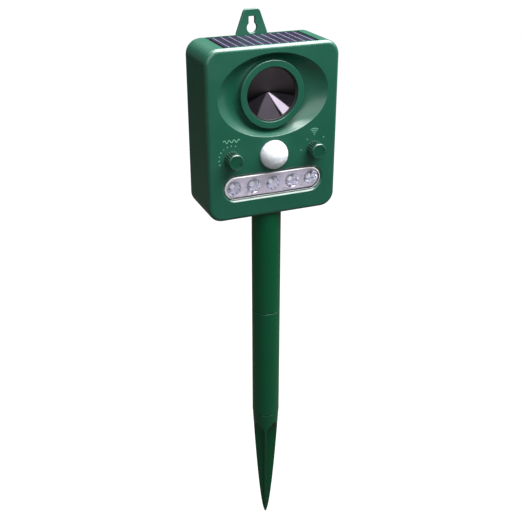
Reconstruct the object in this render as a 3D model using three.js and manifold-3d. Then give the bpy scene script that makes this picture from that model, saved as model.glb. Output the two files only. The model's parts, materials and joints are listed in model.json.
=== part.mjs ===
// Solar ultrasonic pest repeller: a box-shaped head on a three-piece garden stake.
// Millimetres, +Z up. The head's front faces -Y, and +X is to the right.
// Origin: on the stake's axis at the ground line, where the spike meets the tubes.
// The head is laid out in its own group, with y = 0 on its front plane (growing
// backwards), z = 0 on its underside and x = 0 on the stake's centre line.

import * as THREE from "three";
import { mergeVertices } from "three/addons/utils/BufferGeometryUtils.js";
import Module from "manifold-3d";

const wasm = await Module();
wasm.setup();

// ---------------------------------------------------------------- driving dimensions

const TOUCH_GAP = 0.3; // left between pieces that sit against each other
const SLIDING_GAP = 0.3; // radial room in every push fit of the stake
const OVERRUN = 1; // how far a cutter runs past the face it opens
const ROOT = 0.5; // how far a joined feature reaches into its neighbour

// Head casing
const HEAD_WIDTH = 112;
const HEAD_HEIGHT = 139;
const HEAD_DEPTH = 48.5;
const HEAD_CORNER_RADIUS = 12;
const FRONT_FILLET = 3.3;
const REAR_FILLET = 2.4;
const WALL = 2.4;
const COVER_THICKNESS = 2.7;
const SEAL_WIDTH = 1.5;
const SEAL_DEPTH = 2;

// Garden stake
const TUBE_DIAMETER = 25;
const TUBE_WALL = 1.7;
const UPPER_TUBE_EXPOSED = 97.5;
const LOWER_TUBE_BODY = 110.5;
const NECK_LENGTH = 18;
const NECK_SHOULDER = 3.7;
const NECK_SLOPE = 2.7;
const PUSH_FIT_CHAMFER = 0.8;
const SPIGOT_LENGTH = 20;
const SPIGOT_WALL = 2;
const SPIGOT_FLOOR = 1;
const SPIKE_LENGTH = 128.7;
const SPIKE_STEP_IN = 0.4;
const SPIKE_COLLAR_HEIGHT = 8;
const SPIKE_SCOOP_HEIGHT = 14;
const SPIKE_TAPER_POWER = 0.635;
const SPIKE_SCOOP_WALL = 1.5;
const FIN_THICKNESS = 2.4;
const SPIKE_TURN = THREE.MathUtils.degToRad(-22);
const SOCKET_DEPTH = 13;
const SOCKET_ROOF = 1.6;
const SOCKET_WALL = 2;
const SOCKET_FRONT_WALL = 2.6;

// Solar panel in the top of the head
const PANEL_SIDE_MARGIN = 16;
const PANEL_RECESS_DEPTH = 2.6;
const PANEL_FLOOR = 2;
const PANEL_BOARD_THICKNESS = 1.2;
const PANEL_CELL_THICKNESS = 0.6;
const PANEL_BORDER = 2;
const PANEL_LEAD_INSET = 8;
const PANEL_LEAD_Y = 30;
const PANEL_LEAD_HOLE = 4;

// Light strip
const STRIP_SIDE_MARGIN = 13.75;
const STRIP_HEIGHT = 19.2;
const STRIP_RECESS = 1.8;
const STRIP_CHAMFER = 1.75;
const STRIP_FLANGE = 1.2;
const STRIP_ABOVE_SOCKET = 3.1;
const WINDOW_FLANGE_THICKNESS = 1;
const LED_COUNT = 5;
const LED_END_INSET = 8.45;
const LED_CUP_RADIUS = 6.15;
const LED_HOLE_RADIUS = 3.3;
const LED_RADIUS = 2.5;
const LED_RIM_RADIUS = 2.9;
const LED_RIM_HEIGHT = 0.8;
const LED_HEIGHT = 5;
const LED_DOME_HEIGHT = 2;
const REFLECTOR_DEPTH = 5;
const CUP_DEPTH = 4.2;
const LED_BOARD_THICKNESS = 1.4;
const LED_PLUG_LENGTH = 8;
const LED_PLUG_HEIGHT = 3;
const LED_PLUG_INSET = 6;

// Motion sensor and the two control knobs
const SENSOR_LENS_RADIUS = 12.4;
const SENSOR_LENS_HEIGHT = 10;
const SENSOR_LENS_WALL = 1;
const SENSOR_FLANGE = 1.15;
const SENSOR_FLANGE_THICKNESS = 1.2;
const SENSOR_ABOVE_STRIP = 0.35;
const SENSOR_CAN_RADIUS = 4.1;
const SENSOR_CAN_HEIGHT = 5.6;
const SENSOR_BRIM = 0.5;
const SENSOR_BRIM_HEIGHT = 0.9;
const RETAINER_THICKNESS = 1.5;
const KNOB_SIDE_MARGIN = 20.3;
const KNOB_RISE = 0.7;
const KNOB_RADIUS = 6.65;
const KNOB_HEIGHT = 9.5;
const KNOB_RIB_DEPTH = 0.35;
const KNOB_RIBS = 24;
const KNOB_TOP = 1.8;
const KNOB_CHAMFER = 0.8;
const POINTER_START = 3;
const POINTER_WIDTH = 1;
const POINTER_DEPTH = 0.6;
const SHAFT_RADIUS = 3;
const POT_SIZE = 16;
const POT_DEPTH = 6.5;
const POT_BUSHING_WALL = 1.3;
const SHAFT_IN_POT = 3;
const FREQUENCY_POINTER = THREE.MathUtils.degToRad(-30);
const SENSITIVITY_POINTER = THREE.MathUtils.degToRad(0);

// Loudspeaker and the oval dish round it
const DISH_SIDE_MARGIN = 9.2;
const DISH_TOP_MARGIN = 6;
const DISH_ABOVE_SENSOR = 1.45;
const DISH_DEPTH = 8;
const DISH_NARROWEST_BAND = 6;
const COLLAR_SET_BACK = 2.4;
const COLLAR_FACE_WIDTH = 5.25;
const COLLAR_LIP = 2.2;
const COLLAR_WALL = 2.4;
const COLLAR_SHORT_OF_BACK = 3;
const GASKET_THICKNESS = 1.2;
const GASKET_SHOWING = 1.15;
const CONE_DEPTH = 7.2;
const CONE_WALL = 0.8;
const CONE_POWER = 1.25;
const SPEAKER_DEPTH = 14;
const SPEAKER_WALL = 1.5;
const SPEAKER_RIM = 1.2;
const PIEZO_THICKNESS = 1.2;
const PIEZO_SHARE = 0.62;

// Electronics, power and fastenings
const BOARD_FRONT = 16.4;
const BOARD_THICKNESS = 1.6;
const BOARD_SIDE_ROOM = 6.6;
const BOARD_ABOVE_SOCKET = 4.4;
const BOARD_OVER_KNOBS = 14.8;
const BOARD_PART_SPREAD = 17;
const BOARD_SCREW_RADIUS = 1;
const BOARD_SCREW_LENGTH = 8;
const BOARD_SCREW_HEAD_RADIUS = 2.4;
const BOARD_SCREW_HEAD_HEIGHT = 1.2;
const BOARD_SCREW_ROOM = 0.5;
const CELL_RADIUS = 7.1;
const CELL_LENGTH = 49.5;
const CELL_NUB = 1;
const CELL_NUB_RADIUS = 2.7;
const CELL_EDGE = 0.6;
const CELL_SPACING = 0.8;
const CELL_COUNT = 3;
const TRAY_WALL = 1.6;
const TRAY_ROOM = 0.5;
const TRAY_HEIGHT_ROOM = 1;
const CONTACT_ROOM = 2.35;
const CONTACT_THICKNESS = 0.5;
const CONTACT_WIDTH = 10;
const CONTACT_BUMP = 0.8;
const TRAY_ABOVE_SOCKET = 6.7;
const COMPARTMENT_SEAL_THICKNESS = 0.6;
const COMPARTMENT_SEAL_INSET = 0.2;
const DOOR_THICKNESS = 2.2;
const DOOR_CORNER = 2.2;
const DOOR_SHELF_WIDTH = 1.5;
const DOOR_SHELF_THICKNESS = 2.4;
const DOOR_SHELF_OVER = 2;
const DOOR_GRIPS = [-8, -4, 0, 4, 8];
const DOOR_GRIP_WIDTH = 1.4;
const DOOR_GRIP_DEPTH = 0.6;
const DOOR_GRIP_LENGTH = 8;
const DOOR_GRIP_RISE = 4;
const DOOR_SCREW_SEAT = 0.8;
const DOOR_SCREW_LENGTH = 6.5;
const DOOR_SCREW_HEAD_HEIGHT = 1.1;
const DOOR_BOSS_LENGTH = 8;
const DOOR_BOSS_RADIUS = 4;
const PORT_OFFSET = 16;
const PORT_ABOVE_DOOR = 8;
const BUTTON_RADIUS = 3.9;
const BUTTON_STEM_RADIUS = 1.8;
const BUTTON_STEM_LENGTH = 4.4;
const BUTTON_EDGE = 0.5;
const SWITCH_SIZE = 12;
const SWITCH_DEPTH = 9;
const SWITCH_SET_BACK = 3;
const SWITCH_BORE_DEPTH = 4.5;
const PORT_RIB_WIDTH = 1.6;
const PORT_RIB_HEIGHT = 10;
const PORT_RIB_LENGTH = 8;
const FLAP_WIDTH = 12;
const FLAP_HEIGHT = 7;
const FLAP_THICKNESS = 1.4;
const FLAP_ROOM = 0.4;
const FLAP_SET_BACK = 0.2;
const SOCKET_SHELL = [9, 3.4]; // charging socket, width and height
const SOCKET_SHELL_WALL = 0.5;
const SOCKET_SHELL_LENGTH = 8.4;
const SOCKET_SHELL_FLOOR = 1.5;
const SOCKET_SHELL_PROUD = 0.4;
const SCREW_INSET_SIDE = 9;
const SCREW_INSET_BOTTOM = 9.5;
const SCREW_INSET_TOP = 11;
const SCREW_RADIUS = 1.5;
const SCREW_HEAD_RADIUS = 2.9;
const SCREW_HEAD_HEIGHT = 1.9;
const SCREW_HEAD_SET_BACK = 1;
const SCREW_LENGTH = 16;
const SCREW_ROOM = 0.4;
const PILOT_ROOM = 0.3;
const PILOT_DEPTH = 13;
const BOSS_RADIUS = 4.6;
const COVER_BOSS_LENGTH = 4.6;
const POST_RADIUS = 2.8;
const LIP_INSET = 2.1;
const LIP_LENGTH = 2.8;
const LIP_WALL = 1.4;
const LEAD_RADIUS = 1.1;
const LEAD_END_GAP = 0.6;
const LEAD_BOARD_INSET = 9;
const LEAD_BELOW_BOARD_TOP = 6;

// Hanger tab with its keyhole
const TAB_BASE_WIDTH = 27.4;
const TAB_TOP_WIDTH = 13;
const TAB_HEIGHT = 19.5;
const TAB_ROOT = 6;
const TAB_CORNER = 2.6;
const KEYHOLE_RADIUS = 4.3;
const KEYHOLE_RISE = 4.9;
const KEYHOLE_SLOT_WIDTH = 5.3;
const KEYHOLE_TOP = 13.8;

// ---------------------------------------------------------------- places worked out from them

const TUBE_RADIUS = TUBE_DIAMETER / 2;
const STAKE_SETBACK = SOCKET_FRONT_WALL + SLIDING_GAP + TUBE_RADIUS;
const HEAD_BASE = LOWER_TUBE_BODY + UPPER_TUBE_EXPOSED;
const SOCKET_TOP = SOCKET_DEPTH + SOCKET_ROOF;

const COVER_FRONT = HEAD_DEPTH - COVER_THICKNESS;
const HOUSING_REAR = COVER_FRONT - TOUCH_GAP;
const HALF_WIDTH = HEAD_WIDTH / 2;
const CAVITY_HALF_WIDTH = HALF_WIDTH - WALL;
const CAVITY_TOP = HEAD_HEIGHT - PANEL_RECESS_DEPTH - PANEL_FLOOR;
const CAVITY_RADIUS = HEAD_CORNER_RADIUS - WALL;
const SCREW_X = HALF_WIDTH - SCREW_INSET_SIDE;
const SCREW_TOP_Z = HEAD_HEIGHT - SCREW_INSET_TOP;

const STRIP_HALF_LENGTH = HALF_WIDTH - STRIP_SIDE_MARGIN;
const STRIP_Z = SOCKET_TOP + STRIP_ABOVE_SOCKET + STRIP_HEIGHT / 2;
const LED_PITCH = (2 * (STRIP_HALF_LENGTH - LED_END_INSET)) / (LED_COUNT - 1);
const WINDOW_FLANGE_FRONT = WALL + TOUCH_GAP;
const REFLECTOR_FRONT = WINDOW_FLANGE_FRONT + WINDOW_FLANGE_THICKNESS + TOUCH_GAP;
const REFLECTOR_BACK = REFLECTOR_FRONT + REFLECTOR_DEPTH;
const LED_BOARD_FRONT = REFLECTOR_BACK + TOUCH_GAP;
const LED_BOARD_BACK = LED_BOARD_FRONT + LED_BOARD_THICKNESS;

const SENSOR_FLANGE_RADIUS = SENSOR_LENS_RADIUS + SENSOR_FLANGE;
const SENSOR_FLANGE_FRONT = WALL + TOUCH_GAP;
const SENSOR_FLANGE_BACK = SENSOR_FLANGE_FRONT + SENSOR_FLANGE_THICKNESS;
const STRIP_TOP = STRIP_Z + STRIP_HEIGHT / 2 + STRIP_FLANGE;
const SENSOR_Z = STRIP_TOP + SENSOR_ABOVE_STRIP + SENSOR_FLANGE_RADIUS;
const KNOB_X = HALF_WIDTH - KNOB_SIDE_MARGIN;
const KNOB_Z = SENSOR_Z + KNOB_RISE;

const DISH_BOTTOM = SENSOR_Z + SENSOR_FLANGE_RADIUS + DISH_ABOVE_SENSOR;
const DISH_TOP = HEAD_HEIGHT - DISH_TOP_MARGIN;
const DISH_Z = (DISH_BOTTOM + DISH_TOP) / 2;
const DISH_HALF_HEIGHT = (DISH_TOP - DISH_BOTTOM) / 2;
const DISH_HALF_WIDTH = HALF_WIDTH - DISH_SIDE_MARGIN;
const COLLAR_RADIUS = DISH_HALF_HEIGHT - DISH_NARROWEST_BAND;
const MOUTH_RADIUS = COLLAR_RADIUS - COLLAR_FACE_WIDTH;
const SPEAKER_RADIUS = COLLAR_RADIUS - COLLAR_WALL - TOUCH_GAP;
const LIP_BACK = COLLAR_SET_BACK + COLLAR_LIP;
const GASKET_FRONT = LIP_BACK + TOUCH_GAP;
const SPEAKER_FRONT = GASKET_FRONT + GASKET_THICKNESS + TOUCH_GAP;
const SPEAKER_BACK = SPEAKER_FRONT + SPEAKER_DEPTH;
const COLLAR_BACK = SPEAKER_BACK - COLLAR_SHORT_OF_BACK;
const SPEAKER_WELL_RADIUS = SPEAKER_RADIUS - SPEAKER_WALL;
const CONE_RADIUS = MOUTH_RADIUS - GASKET_SHOWING - TOUCH_GAP / 3;

const BOARD_BACK = BOARD_FRONT + BOARD_THICKNESS;
const BOARD_HALF_WIDTH = CAVITY_HALF_WIDTH - BOARD_SIDE_ROOM;
const BOARD_BOTTOM = SOCKET_TOP + BOARD_ABOVE_SOCKET;
const BOARD_TOP = KNOB_Z + BOARD_OVER_KNOBS;
const POT_FRONT = BOARD_FRONT - TOUCH_GAP - POT_DEPTH;
const POST_X = 20;
const POST_LOW_Z = STRIP_TOP + POST_RADIUS + TOUCH_GAP;
const POST_HIGH_Z = BOARD_TOP - POST_RADIUS - 2 * TOUCH_GAP;

const TRAY_REAR = COVER_FRONT - COMPARTMENT_SEAL_THICKNESS - 2 * TOUCH_GAP;
const TRAY_FRONT = TRAY_REAR - 2 * (CELL_RADIUS + TRAY_ROOM) - TRAY_WALL;
const TRAY_BOTTOM = SOCKET_TOP + TRAY_ABOVE_SOCKET;
const CELL_PITCH = 2 * CELL_RADIUS + CELL_SPACING;
const CELL_STACK = (CELL_COUNT - 1) * CELL_PITCH + 2 * (CELL_RADIUS + TRAY_ROOM);
const TRAY_INNER_HEIGHT = CELL_STACK + TRAY_HEIGHT_ROOM;
const TRAY_INNER_BOTTOM = TRAY_BOTTOM + TRAY_WALL;
const TRAY_INNER_TOP = TRAY_INNER_BOTTOM + TRAY_INNER_HEIGHT;
const TRAY_TOP = TRAY_INNER_TOP + TRAY_WALL;
const TRAY_Z = (TRAY_INNER_BOTTOM + TRAY_INNER_TOP) / 2;
const TRAY_INNER_HALF = (CELL_LENGTH + CELL_NUB) / 2 + CONTACT_ROOM;
const TRAY_OUTER_HALF = TRAY_INNER_HALF + TRAY_WALL;
const CELL_Y = TRAY_FRONT + TRAY_WALL + TRAY_ROOM + CELL_RADIUS;
const DOOR_FRONT = COVER_FRONT + TOUCH_GAP;
const DOOR_SCREW_Z = TRAY_TOP + DOOR_BOSS_RADIUS + TOUCH_GAP + 0.2;
const DOOR_TOP = DOOR_SCREW_Z + DOOR_BOSS_RADIUS + 0.4;
const PORT_Z = DOOR_TOP + PORT_ABOVE_DOOR;

const TURN_SEGMENTS = 24;
const WIDE_SEGMENTS = 32;
const SHAFT_SEGMENTS = 16;
const SMALL_SEGMENTS = 10;
const HOLE_SEGMENTS = 8;

// ---------------------------------------------------------------- finishes

function finish(color, roughness, metalness = 0) {
  return new THREE.MeshStandardMaterial({ color, roughness, metalness });
}

const greenPlastic = finish(0x1f6b4a, 0.42);
const darkGreenPlastic = finish(0x185a3e, 0.45);
const blackPlastic = finish(0x161718, 0.5);
const blackRubber = finish(0x101010, 0.8);
const lensPlastic = finish(0xf2f6fa, 0.35);
const clearPlastic = finish(0xd9dde6, 0.08);
const mirrorPlastic = finish(0xb9bcc8, 0.15, 0.9);
const darkMetal = finish(0x3a3540, 0.15, 1);
const circuitBoard = finish(0x2d5c34, 0.5);
const panelBlack = finish(0x0d0e14, 0.2);
const panelCell = finish(0x3b3860, 0.15);
const steel = finish(0x9a9da1, 0.3, 1);
const brass = finish(0xc9a75c, 0.3, 1);
const cellWrap = finish(0x3d7a4a, 0.4);
const wireSleeve = finish(0x8c1f1f, 0.6);

// ---------------------------------------------------------------- geometry helpers

// Position-only indexed copy with shared vertices merged and its faces pointing out.
function facingOut(geometry) {
  const bare = geometry.clone();
  bare.deleteAttribute("normal");
  bare.deleteAttribute("uv");
  const merged = mergeVertices(bare, 1e-4);
  const at = merged.getAttribute("position");
  const index = merged.getIndex().array;
  const kept = [];
  const a = new THREE.Vector3();
  const b = new THREE.Vector3();
  const c = new THREE.Vector3();
  let volume = 0;
  for (let i = 0; i < index.length; i += 3) {
    const [ia, ib, ic] = [index[i], index[i + 1], index[i + 2]];
    if (ia === ib || ib === ic || ic === ia) continue;
    kept.push(ia, ib, ic);
    a.fromBufferAttribute(at, ia);
    b.fromBufferAttribute(at, ib);
    c.fromBufferAttribute(at, ic);
    volume += a.dot(b.cross(c));
  }
  if (volume < 0) {
    for (let i = 0; i < kept.length; i += 3) {
      [kept[i + 1], kept[i + 2]] = [kept[i + 2], kept[i + 1]];
    }
  }
  merged.setIndex(kept);
  return merged;
}

function toSolid(geometry) {
  const merged = facingOut(geometry);
  return new wasm.Manifold(new wasm.Mesh({
    numProp: 3,
    vertProperties: new Float32Array(merged.getAttribute("position").array),
    triVerts: new Uint32Array(merged.getIndex().array),
  }));
}

function toGeometry(solid) {
  const mesh = solid.getMesh();
  const geometry = new THREE.BufferGeometry();
  geometry.setAttribute("position", new THREE.BufferAttribute(mesh.vertProperties, 3));
  geometry.setIndex(new THREE.BufferAttribute(mesh.triVerts, 1));
  return geometry;
}

// Joins every added geometry to the base, then cuts every removed one from the result.
function combine(base, added, removed = []) {
  let solid = toSolid(base);
  for (const geometry of added) solid = solid.add(toSolid(geometry));
  for (const geometry of removed) solid = solid.subtract(toSolid(geometry));
  return toGeometry(solid);
}

function trimmedTo(geometry, outer) {
  return toGeometry(toSolid(geometry).intersect(toSolid(outer)));
}

function block(x0, x1, y0, y1, z0, z1) {
  const box = new THREE.BoxGeometry(x1 - x0, y1 - y0, z1 - z0);
  return box.translate((x0 + x1) / 2, (y0 + y1) / 2, (z0 + z1) / 2);
}

// A flat outline drawn in x and z, carried from y0 back to y1.
function slab(shape, y0, y1, curveSegments = 3) {
  const solid = new THREE.ExtrudeGeometry(shape, { depth: y1 - y0, bevelEnabled: false, curveSegments });
  return solid.rotateX(Math.PI / 2).translate(0, y1, 0);
}

// A profile of [radius, y] points spun round the front-to-back axis through (x, z).
function spunBack(profile, x, z, segments = TURN_SEGMENTS) {
  const points = profile.map(([radius, y]) => new THREE.Vector2(radius, y));
  return new THREE.LatheGeometry(points, segments).translate(x, 0, z);
}

// A profile of [radius, z] points spun round the upright axis through (0, y).
function spunUp(profile, y = 0, segments = TURN_SEGMENTS) {
  const points = profile.map(([radius, z]) => new THREE.Vector2(radius, z));
  return new THREE.LatheGeometry(points, segments).rotateX(Math.PI / 2).translate(0, y, 0);
}

function rod(radius, y0, y1, x, z, segments = SMALL_SEGMENTS) {
  return spunBack([[0, y0], [radius, y0], [radius, y1], [0, y1]], x, z, segments);
}

function pillar(radius, z0, z1, y) {
  return spunUp([[0, z0], [radius, z0], [radius, z1], [0, z1]], y);
}

function ringProfile(inner, outer, low, high) {
  return [[inner, low], [outer, low], [outer, high], [inner, high], [inner, low]];
}

function roundedRect(halfWidth, low, high, radius) {
  const shape = new THREE.Shape();
  const right = halfWidth - radius;
  shape.absarc(right, low + radius, radius, -Math.PI / 2, 0);
  shape.absarc(right, high - radius, radius, 0, Math.PI / 2);
  shape.absarc(-right, high - radius, radius, Math.PI / 2, Math.PI);
  shape.absarc(-right, low + radius, radius, Math.PI, 1.5 * Math.PI);
  return shape;
}

function stadium(halfLength, halfHeight, z) {
  return roundedRect(halfLength, z - halfHeight, z + halfHeight, halfHeight - 0.01);
}

// The band between two rounded rectangles, the inner one a width inside the outer one.
function bandShape(halfWidth, low, high, radius, width) {
  const shape = roundedRect(halfWidth, low, high, radius);
  const innerRadius = Math.max(radius - width, 0.4);
  shape.holes.push(roundedRect(halfWidth - width, low + width, high - width, innerRadius));
  return shape;
}

// Skin through rings of equally many points, closed by a flat cap at each end.
function loft(rings) {
  const count = rings[0].length;
  const last = (rings.length - 1) * count;
  const positions = rings.flat().flatMap((point) => [point.x, point.y, point.z]);
  const index = [];
  for (let r = 0; r + 1 < rings.length; r += 1) {
    for (let i = 0; i < count; i += 1) {
      const a = r * count + i;
      const b = r * count + ((i + 1) % count);
      index.push(a, b, a + count, b, b + count, a + count);
    }
  }
  for (let i = 1; i + 1 < count; i += 1) {
    index.push(0, i + 1, i);
    index.push(last, last + i, last + i + 1);
  }
  const geometry = new THREE.BufferGeometry();
  geometry.setAttribute("position", new THREE.Float32BufferAttribute(positions, 3));
  geometry.setIndex(index);
  return facingOut(geometry);
}

// One ring of a rounded rectangle at depth y, drawn inwards from the head's outline.
function outlineRing(inset, y, segments = 3) {
  const shape = roundedRect(HALF_WIDTH - inset, inset, HEAD_HEIGHT - inset, HEAD_CORNER_RADIUS - inset);
  return shape.getPoints(segments).map((point) => new THREE.Vector3(point.x, y, point.y));
}

// A ring between an ellipse (share 0) and a circle (share 1), both centred on the dish.
function dishRing(share, y, extra = 0, count = WIDE_SEGMENTS) {
  const ring = [];
  const across = THREE.MathUtils.lerp(DISH_HALF_WIDTH, COLLAR_RADIUS, share) + extra;
  const up = THREE.MathUtils.lerp(DISH_HALF_HEIGHT, COLLAR_RADIUS, share) + extra;
  for (let i = 0; i < count; i += 1) {
    const angle = (i / count) * 2 * Math.PI;
    ring.push(new THREE.Vector3(across * Math.cos(angle), y, DISH_Z + up * Math.sin(angle)));
  }
  return ring;
}

function addPiece(group, name, geometry, material) {
  const mesh = new THREE.Mesh(facingOut(geometry), material);
  mesh.name = name;
  group.add(mesh);
  return mesh;
}

function leadAlong(points) {
  const curve = new THREE.CatmullRomCurve3(points.map(([x, y, z]) => new THREE.Vector3(x, y, z)));
  const section = new THREE.Shape();
  section.absarc(0, 0, LEAD_RADIUS, 0, 2 * Math.PI);
  return new THREE.ExtrudeGeometry(section, { steps: 14, curveSegments: 4, extrudePath: curve });
}

// ---------------------------------------------------------------- casing

const HOUSING_SCREWS = [
  [-SCREW_X, SCREW_INSET_BOTTOM],
  [SCREW_X, SCREW_INSET_BOTTOM],
  [-SCREW_X, SCREW_TOP_Z],
  [SCREW_X, SCREW_TOP_Z],
];

const BOARD_POSTS = [
  [-POST_X, POST_LOW_Z],
  [POST_X, POST_LOW_Z],
  [-POST_X, POST_HIGH_Z],
  [POST_X, POST_HIGH_Z],
];

// The fillet is a quarter circle of rings from the front plane back to the full outline.
function housingBlank() {
  const rings = [];
  const steps = 4;
  for (let i = 0; i <= steps; i += 1) {
    const angle = (i / steps) * (Math.PI / 2);
    rings.push(outlineRing(FRONT_FILLET * (1 - Math.sin(angle)), FRONT_FILLET * (1 - Math.cos(angle))));
  }
  rings.push(outlineRing(0, HOUSING_REAR));
  return loft(rings);
}

// Bowl from the oval rim down to the foot of the collar, steepest at its rim.
function dishBowl(extra, frontOverrun) {
  const rings = [dishRing(0, -frontOverrun, extra)];
  const steps = 4;
  for (let i = 0; i <= steps; i += 1) {
    const share = i / steps;
    const depth = DISH_DEPTH * Math.sin((share * Math.PI) / 2) + extra;
    rings.push(dishRing(share * 0.999, depth + (i === 0 ? 0.01 : 0), extra));
  }
  return loft(rings);
}

function stripOpening() {
  const rings = [
    [STRIP_CHAMFER, -OVERRUN],
    [STRIP_CHAMFER, 0],
    [0, STRIP_RECESS],
    [0, WALL + OVERRUN],
  ];
  return loft(rings.map(([extra, y]) => {
    const shape = stadium(STRIP_HALF_LENGTH + extra, STRIP_HEIGHT / 2 + extra, STRIP_Z);
    return shape.getPoints(3).map((point) => new THREE.Vector3(point.x, y, point.y));
  }));
}

// The outer shell: hollow from behind, with the panel's recess open at the rear.
function housingShell(blank) {
  const cavityShape = roundedRect(CAVITY_HALF_WIDTH, WALL, CAVITY_TOP, CAVITY_RADIUS);
  const cavity = slab(cavityShape, WALL, HOUSING_REAR + OVERRUN);
  const recessHalf = HALF_WIDTH - PANEL_SIDE_MARGIN;
  const recessFloor = HEAD_HEIGHT - PANEL_RECESS_DEPTH;
  const recess = block(
    -recessHalf, recessHalf,
    FRONT_FILLET, HOUSING_REAR + OVERRUN,
    recessFloor, HEAD_HEIGHT + OVERRUN,
  );
  return combine(blank, [], [cavity, recess]);
}

// The ring that carries the loudspeaker, with a lip at the front that holds the gasket.
function speakerCollar() {
  const inner = COLLAR_RADIUS - COLLAR_WALL;
  return spunBack([
    [MOUTH_RADIUS, COLLAR_SET_BACK],
    [COLLAR_RADIUS, COLLAR_SET_BACK],
    [COLLAR_RADIUS, COLLAR_BACK],
    [inner, COLLAR_BACK],
    [inner, LIP_BACK],
    [MOUTH_RADIUS, LIP_BACK],
    [MOUTH_RADIUS, COLLAR_SET_BACK],
  ], 0, DISH_Z, WIDE_SEGMENTS);
}

function frontHousing() {
  const blank = housingBlank();
  const bowlWall = trimmedTo(dishBowl(WALL, -WALL / 2), blank);
  const dished = combine(housingShell(blank), [bowlWall], [dishBowl(0, OVERRUN)]);
  const speakerWell = rod(COLLAR_RADIUS - 0.05, COLLAR_SET_BACK, SPEAKER_BACK, 0, DISH_Z, WIDE_SEGMENTS);
  const opened = combine(dished, [], [speakerWell]);

  const boreRadius = TUBE_RADIUS + SLIDING_GAP;
  const sleeve = pillar(boreRadius + SOCKET_WALL, 0, SOCKET_TOP, STAKE_SETBACK);
  const bore = pillar(boreRadius, -OVERRUN, SOCKET_DEPTH, STAKE_SETBACK);
  const bossEnd = COVER_FRONT - COVER_BOSS_LENGTH - TOUCH_GAP;
  const postEnd = BOARD_FRONT - TOUCH_GAP;
  const postHoleEnd = postEnd - BOARD_SCREW_LENGTH;
  const leadX = HALF_WIDTH - PANEL_SIDE_MARGIN - PANEL_LEAD_INSET;
  const leadHalf = PANEL_LEAD_HOLE / 2;
  const fittings = [
    speakerCollar(),
    trimmedTo(sleeve, blank),
    ...HOUSING_SCREWS.map(([x, z]) => rod(BOSS_RADIUS, WALL / 2, bossEnd, x, z)),
    ...BOARD_POSTS.map(([x, z]) => rod(POST_RADIUS, WALL / 2, postEnd, x, z)),
  ];
  const openings = [
    bore,
    stripOpening(),
    rod(SENSOR_LENS_RADIUS + TOUCH_GAP, -OVERRUN, WALL + OVERRUN, 0, SENSOR_Z, TURN_SEGMENTS),
    rod(SENSOR_FLANGE_RADIUS + TOUCH_GAP, WALL, WALL + 2 * WALL, 0, SENSOR_Z, TURN_SEGMENTS),
    block(
      leadX - leadHalf, leadX + leadHalf,
      PANEL_LEAD_Y - leadHalf, PANEL_LEAD_Y + leadHalf,
      CAVITY_TOP - OVERRUN, HEAD_HEIGHT - PANEL_RECESS_DEPTH + OVERRUN,
    ),
    ...HOUSING_SCREWS.map(([x, z]) => (
      rod(SCREW_RADIUS + PILOT_ROOM, bossEnd - PILOT_DEPTH, bossEnd + OVERRUN, x, z, HOLE_SEGMENTS)
    )),
    ...BOARD_POSTS.map(([x, z]) => (
      rod(BOARD_SCREW_RADIUS + PILOT_ROOM, postHoleEnd, postEnd + OVERRUN, x, z, HOLE_SEGMENTS)
    )),
    ...[-KNOB_X, KNOB_X].map((x) => (
      rod(SHAFT_RADIUS + 2 * TOUCH_GAP, -OVERRUN, WALL + OVERRUN, x, KNOB_Z)
    )),
  ];
  return combine(opened, fittings, openings);
}

function hangerTab() {
  const shape = new THREE.Shape();
  const base = TAB_BASE_WIDTH / 2;
  const top = TAB_TOP_WIDTH / 2;
  const topZ = HEAD_HEIGHT + TAB_HEIGHT;
  const lean = ((base - top) / TAB_HEIGHT) * TAB_CORNER;
  shape.moveTo(-base, HEAD_HEIGHT - TAB_ROOT);
  shape.lineTo(base, HEAD_HEIGHT - TAB_ROOT);
  shape.lineTo(base, HEAD_HEIGHT);
  shape.lineTo(top + lean, topZ - TAB_CORNER);
  shape.quadraticCurveTo(top, topZ, top - TAB_CORNER, topZ);
  shape.lineTo(-top + TAB_CORNER, topZ);
  shape.quadraticCurveTo(-top, topZ, -top - lean, topZ - TAB_CORNER);
  shape.lineTo(-base, HEAD_HEIGHT);
  const slot = KEYHOLE_SLOT_WIDTH / 2;
  const mouth = Math.asin(slot / KEYHOLE_RADIUS);
  const keyZ = HEAD_HEIGHT + KEYHOLE_RISE;
  const keyhole = new THREE.Path();
  keyhole.moveTo(slot, HEAD_HEIGHT + KEYHOLE_TOP);
  keyhole.lineTo(-slot, HEAD_HEIGHT + KEYHOLE_TOP);
  keyhole.absarc(0, keyZ, KEYHOLE_RADIUS, Math.PI / 2 + mouth, 2.5 * Math.PI - mouth);
  shape.holes.push(keyhole);
  return slab(shape, COVER_FRONT, HEAD_DEPTH, 5);
}

function coverPlate() {
  const steps = 3;
  const rings = [outlineRing(0, COVER_FRONT)];
  for (let i = 0; i <= steps; i += 1) {
    const angle = (i / steps) * (Math.PI / 2);
    const inset = REAR_FILLET * (1 - Math.cos(angle));
    const depth = HEAD_DEPTH - REAR_FILLET * (1 - Math.sin(angle));
    rings.push(outlineRing(inset, depth));
  }
  return combine(loft(rings), [hangerTab()]);
}

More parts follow.
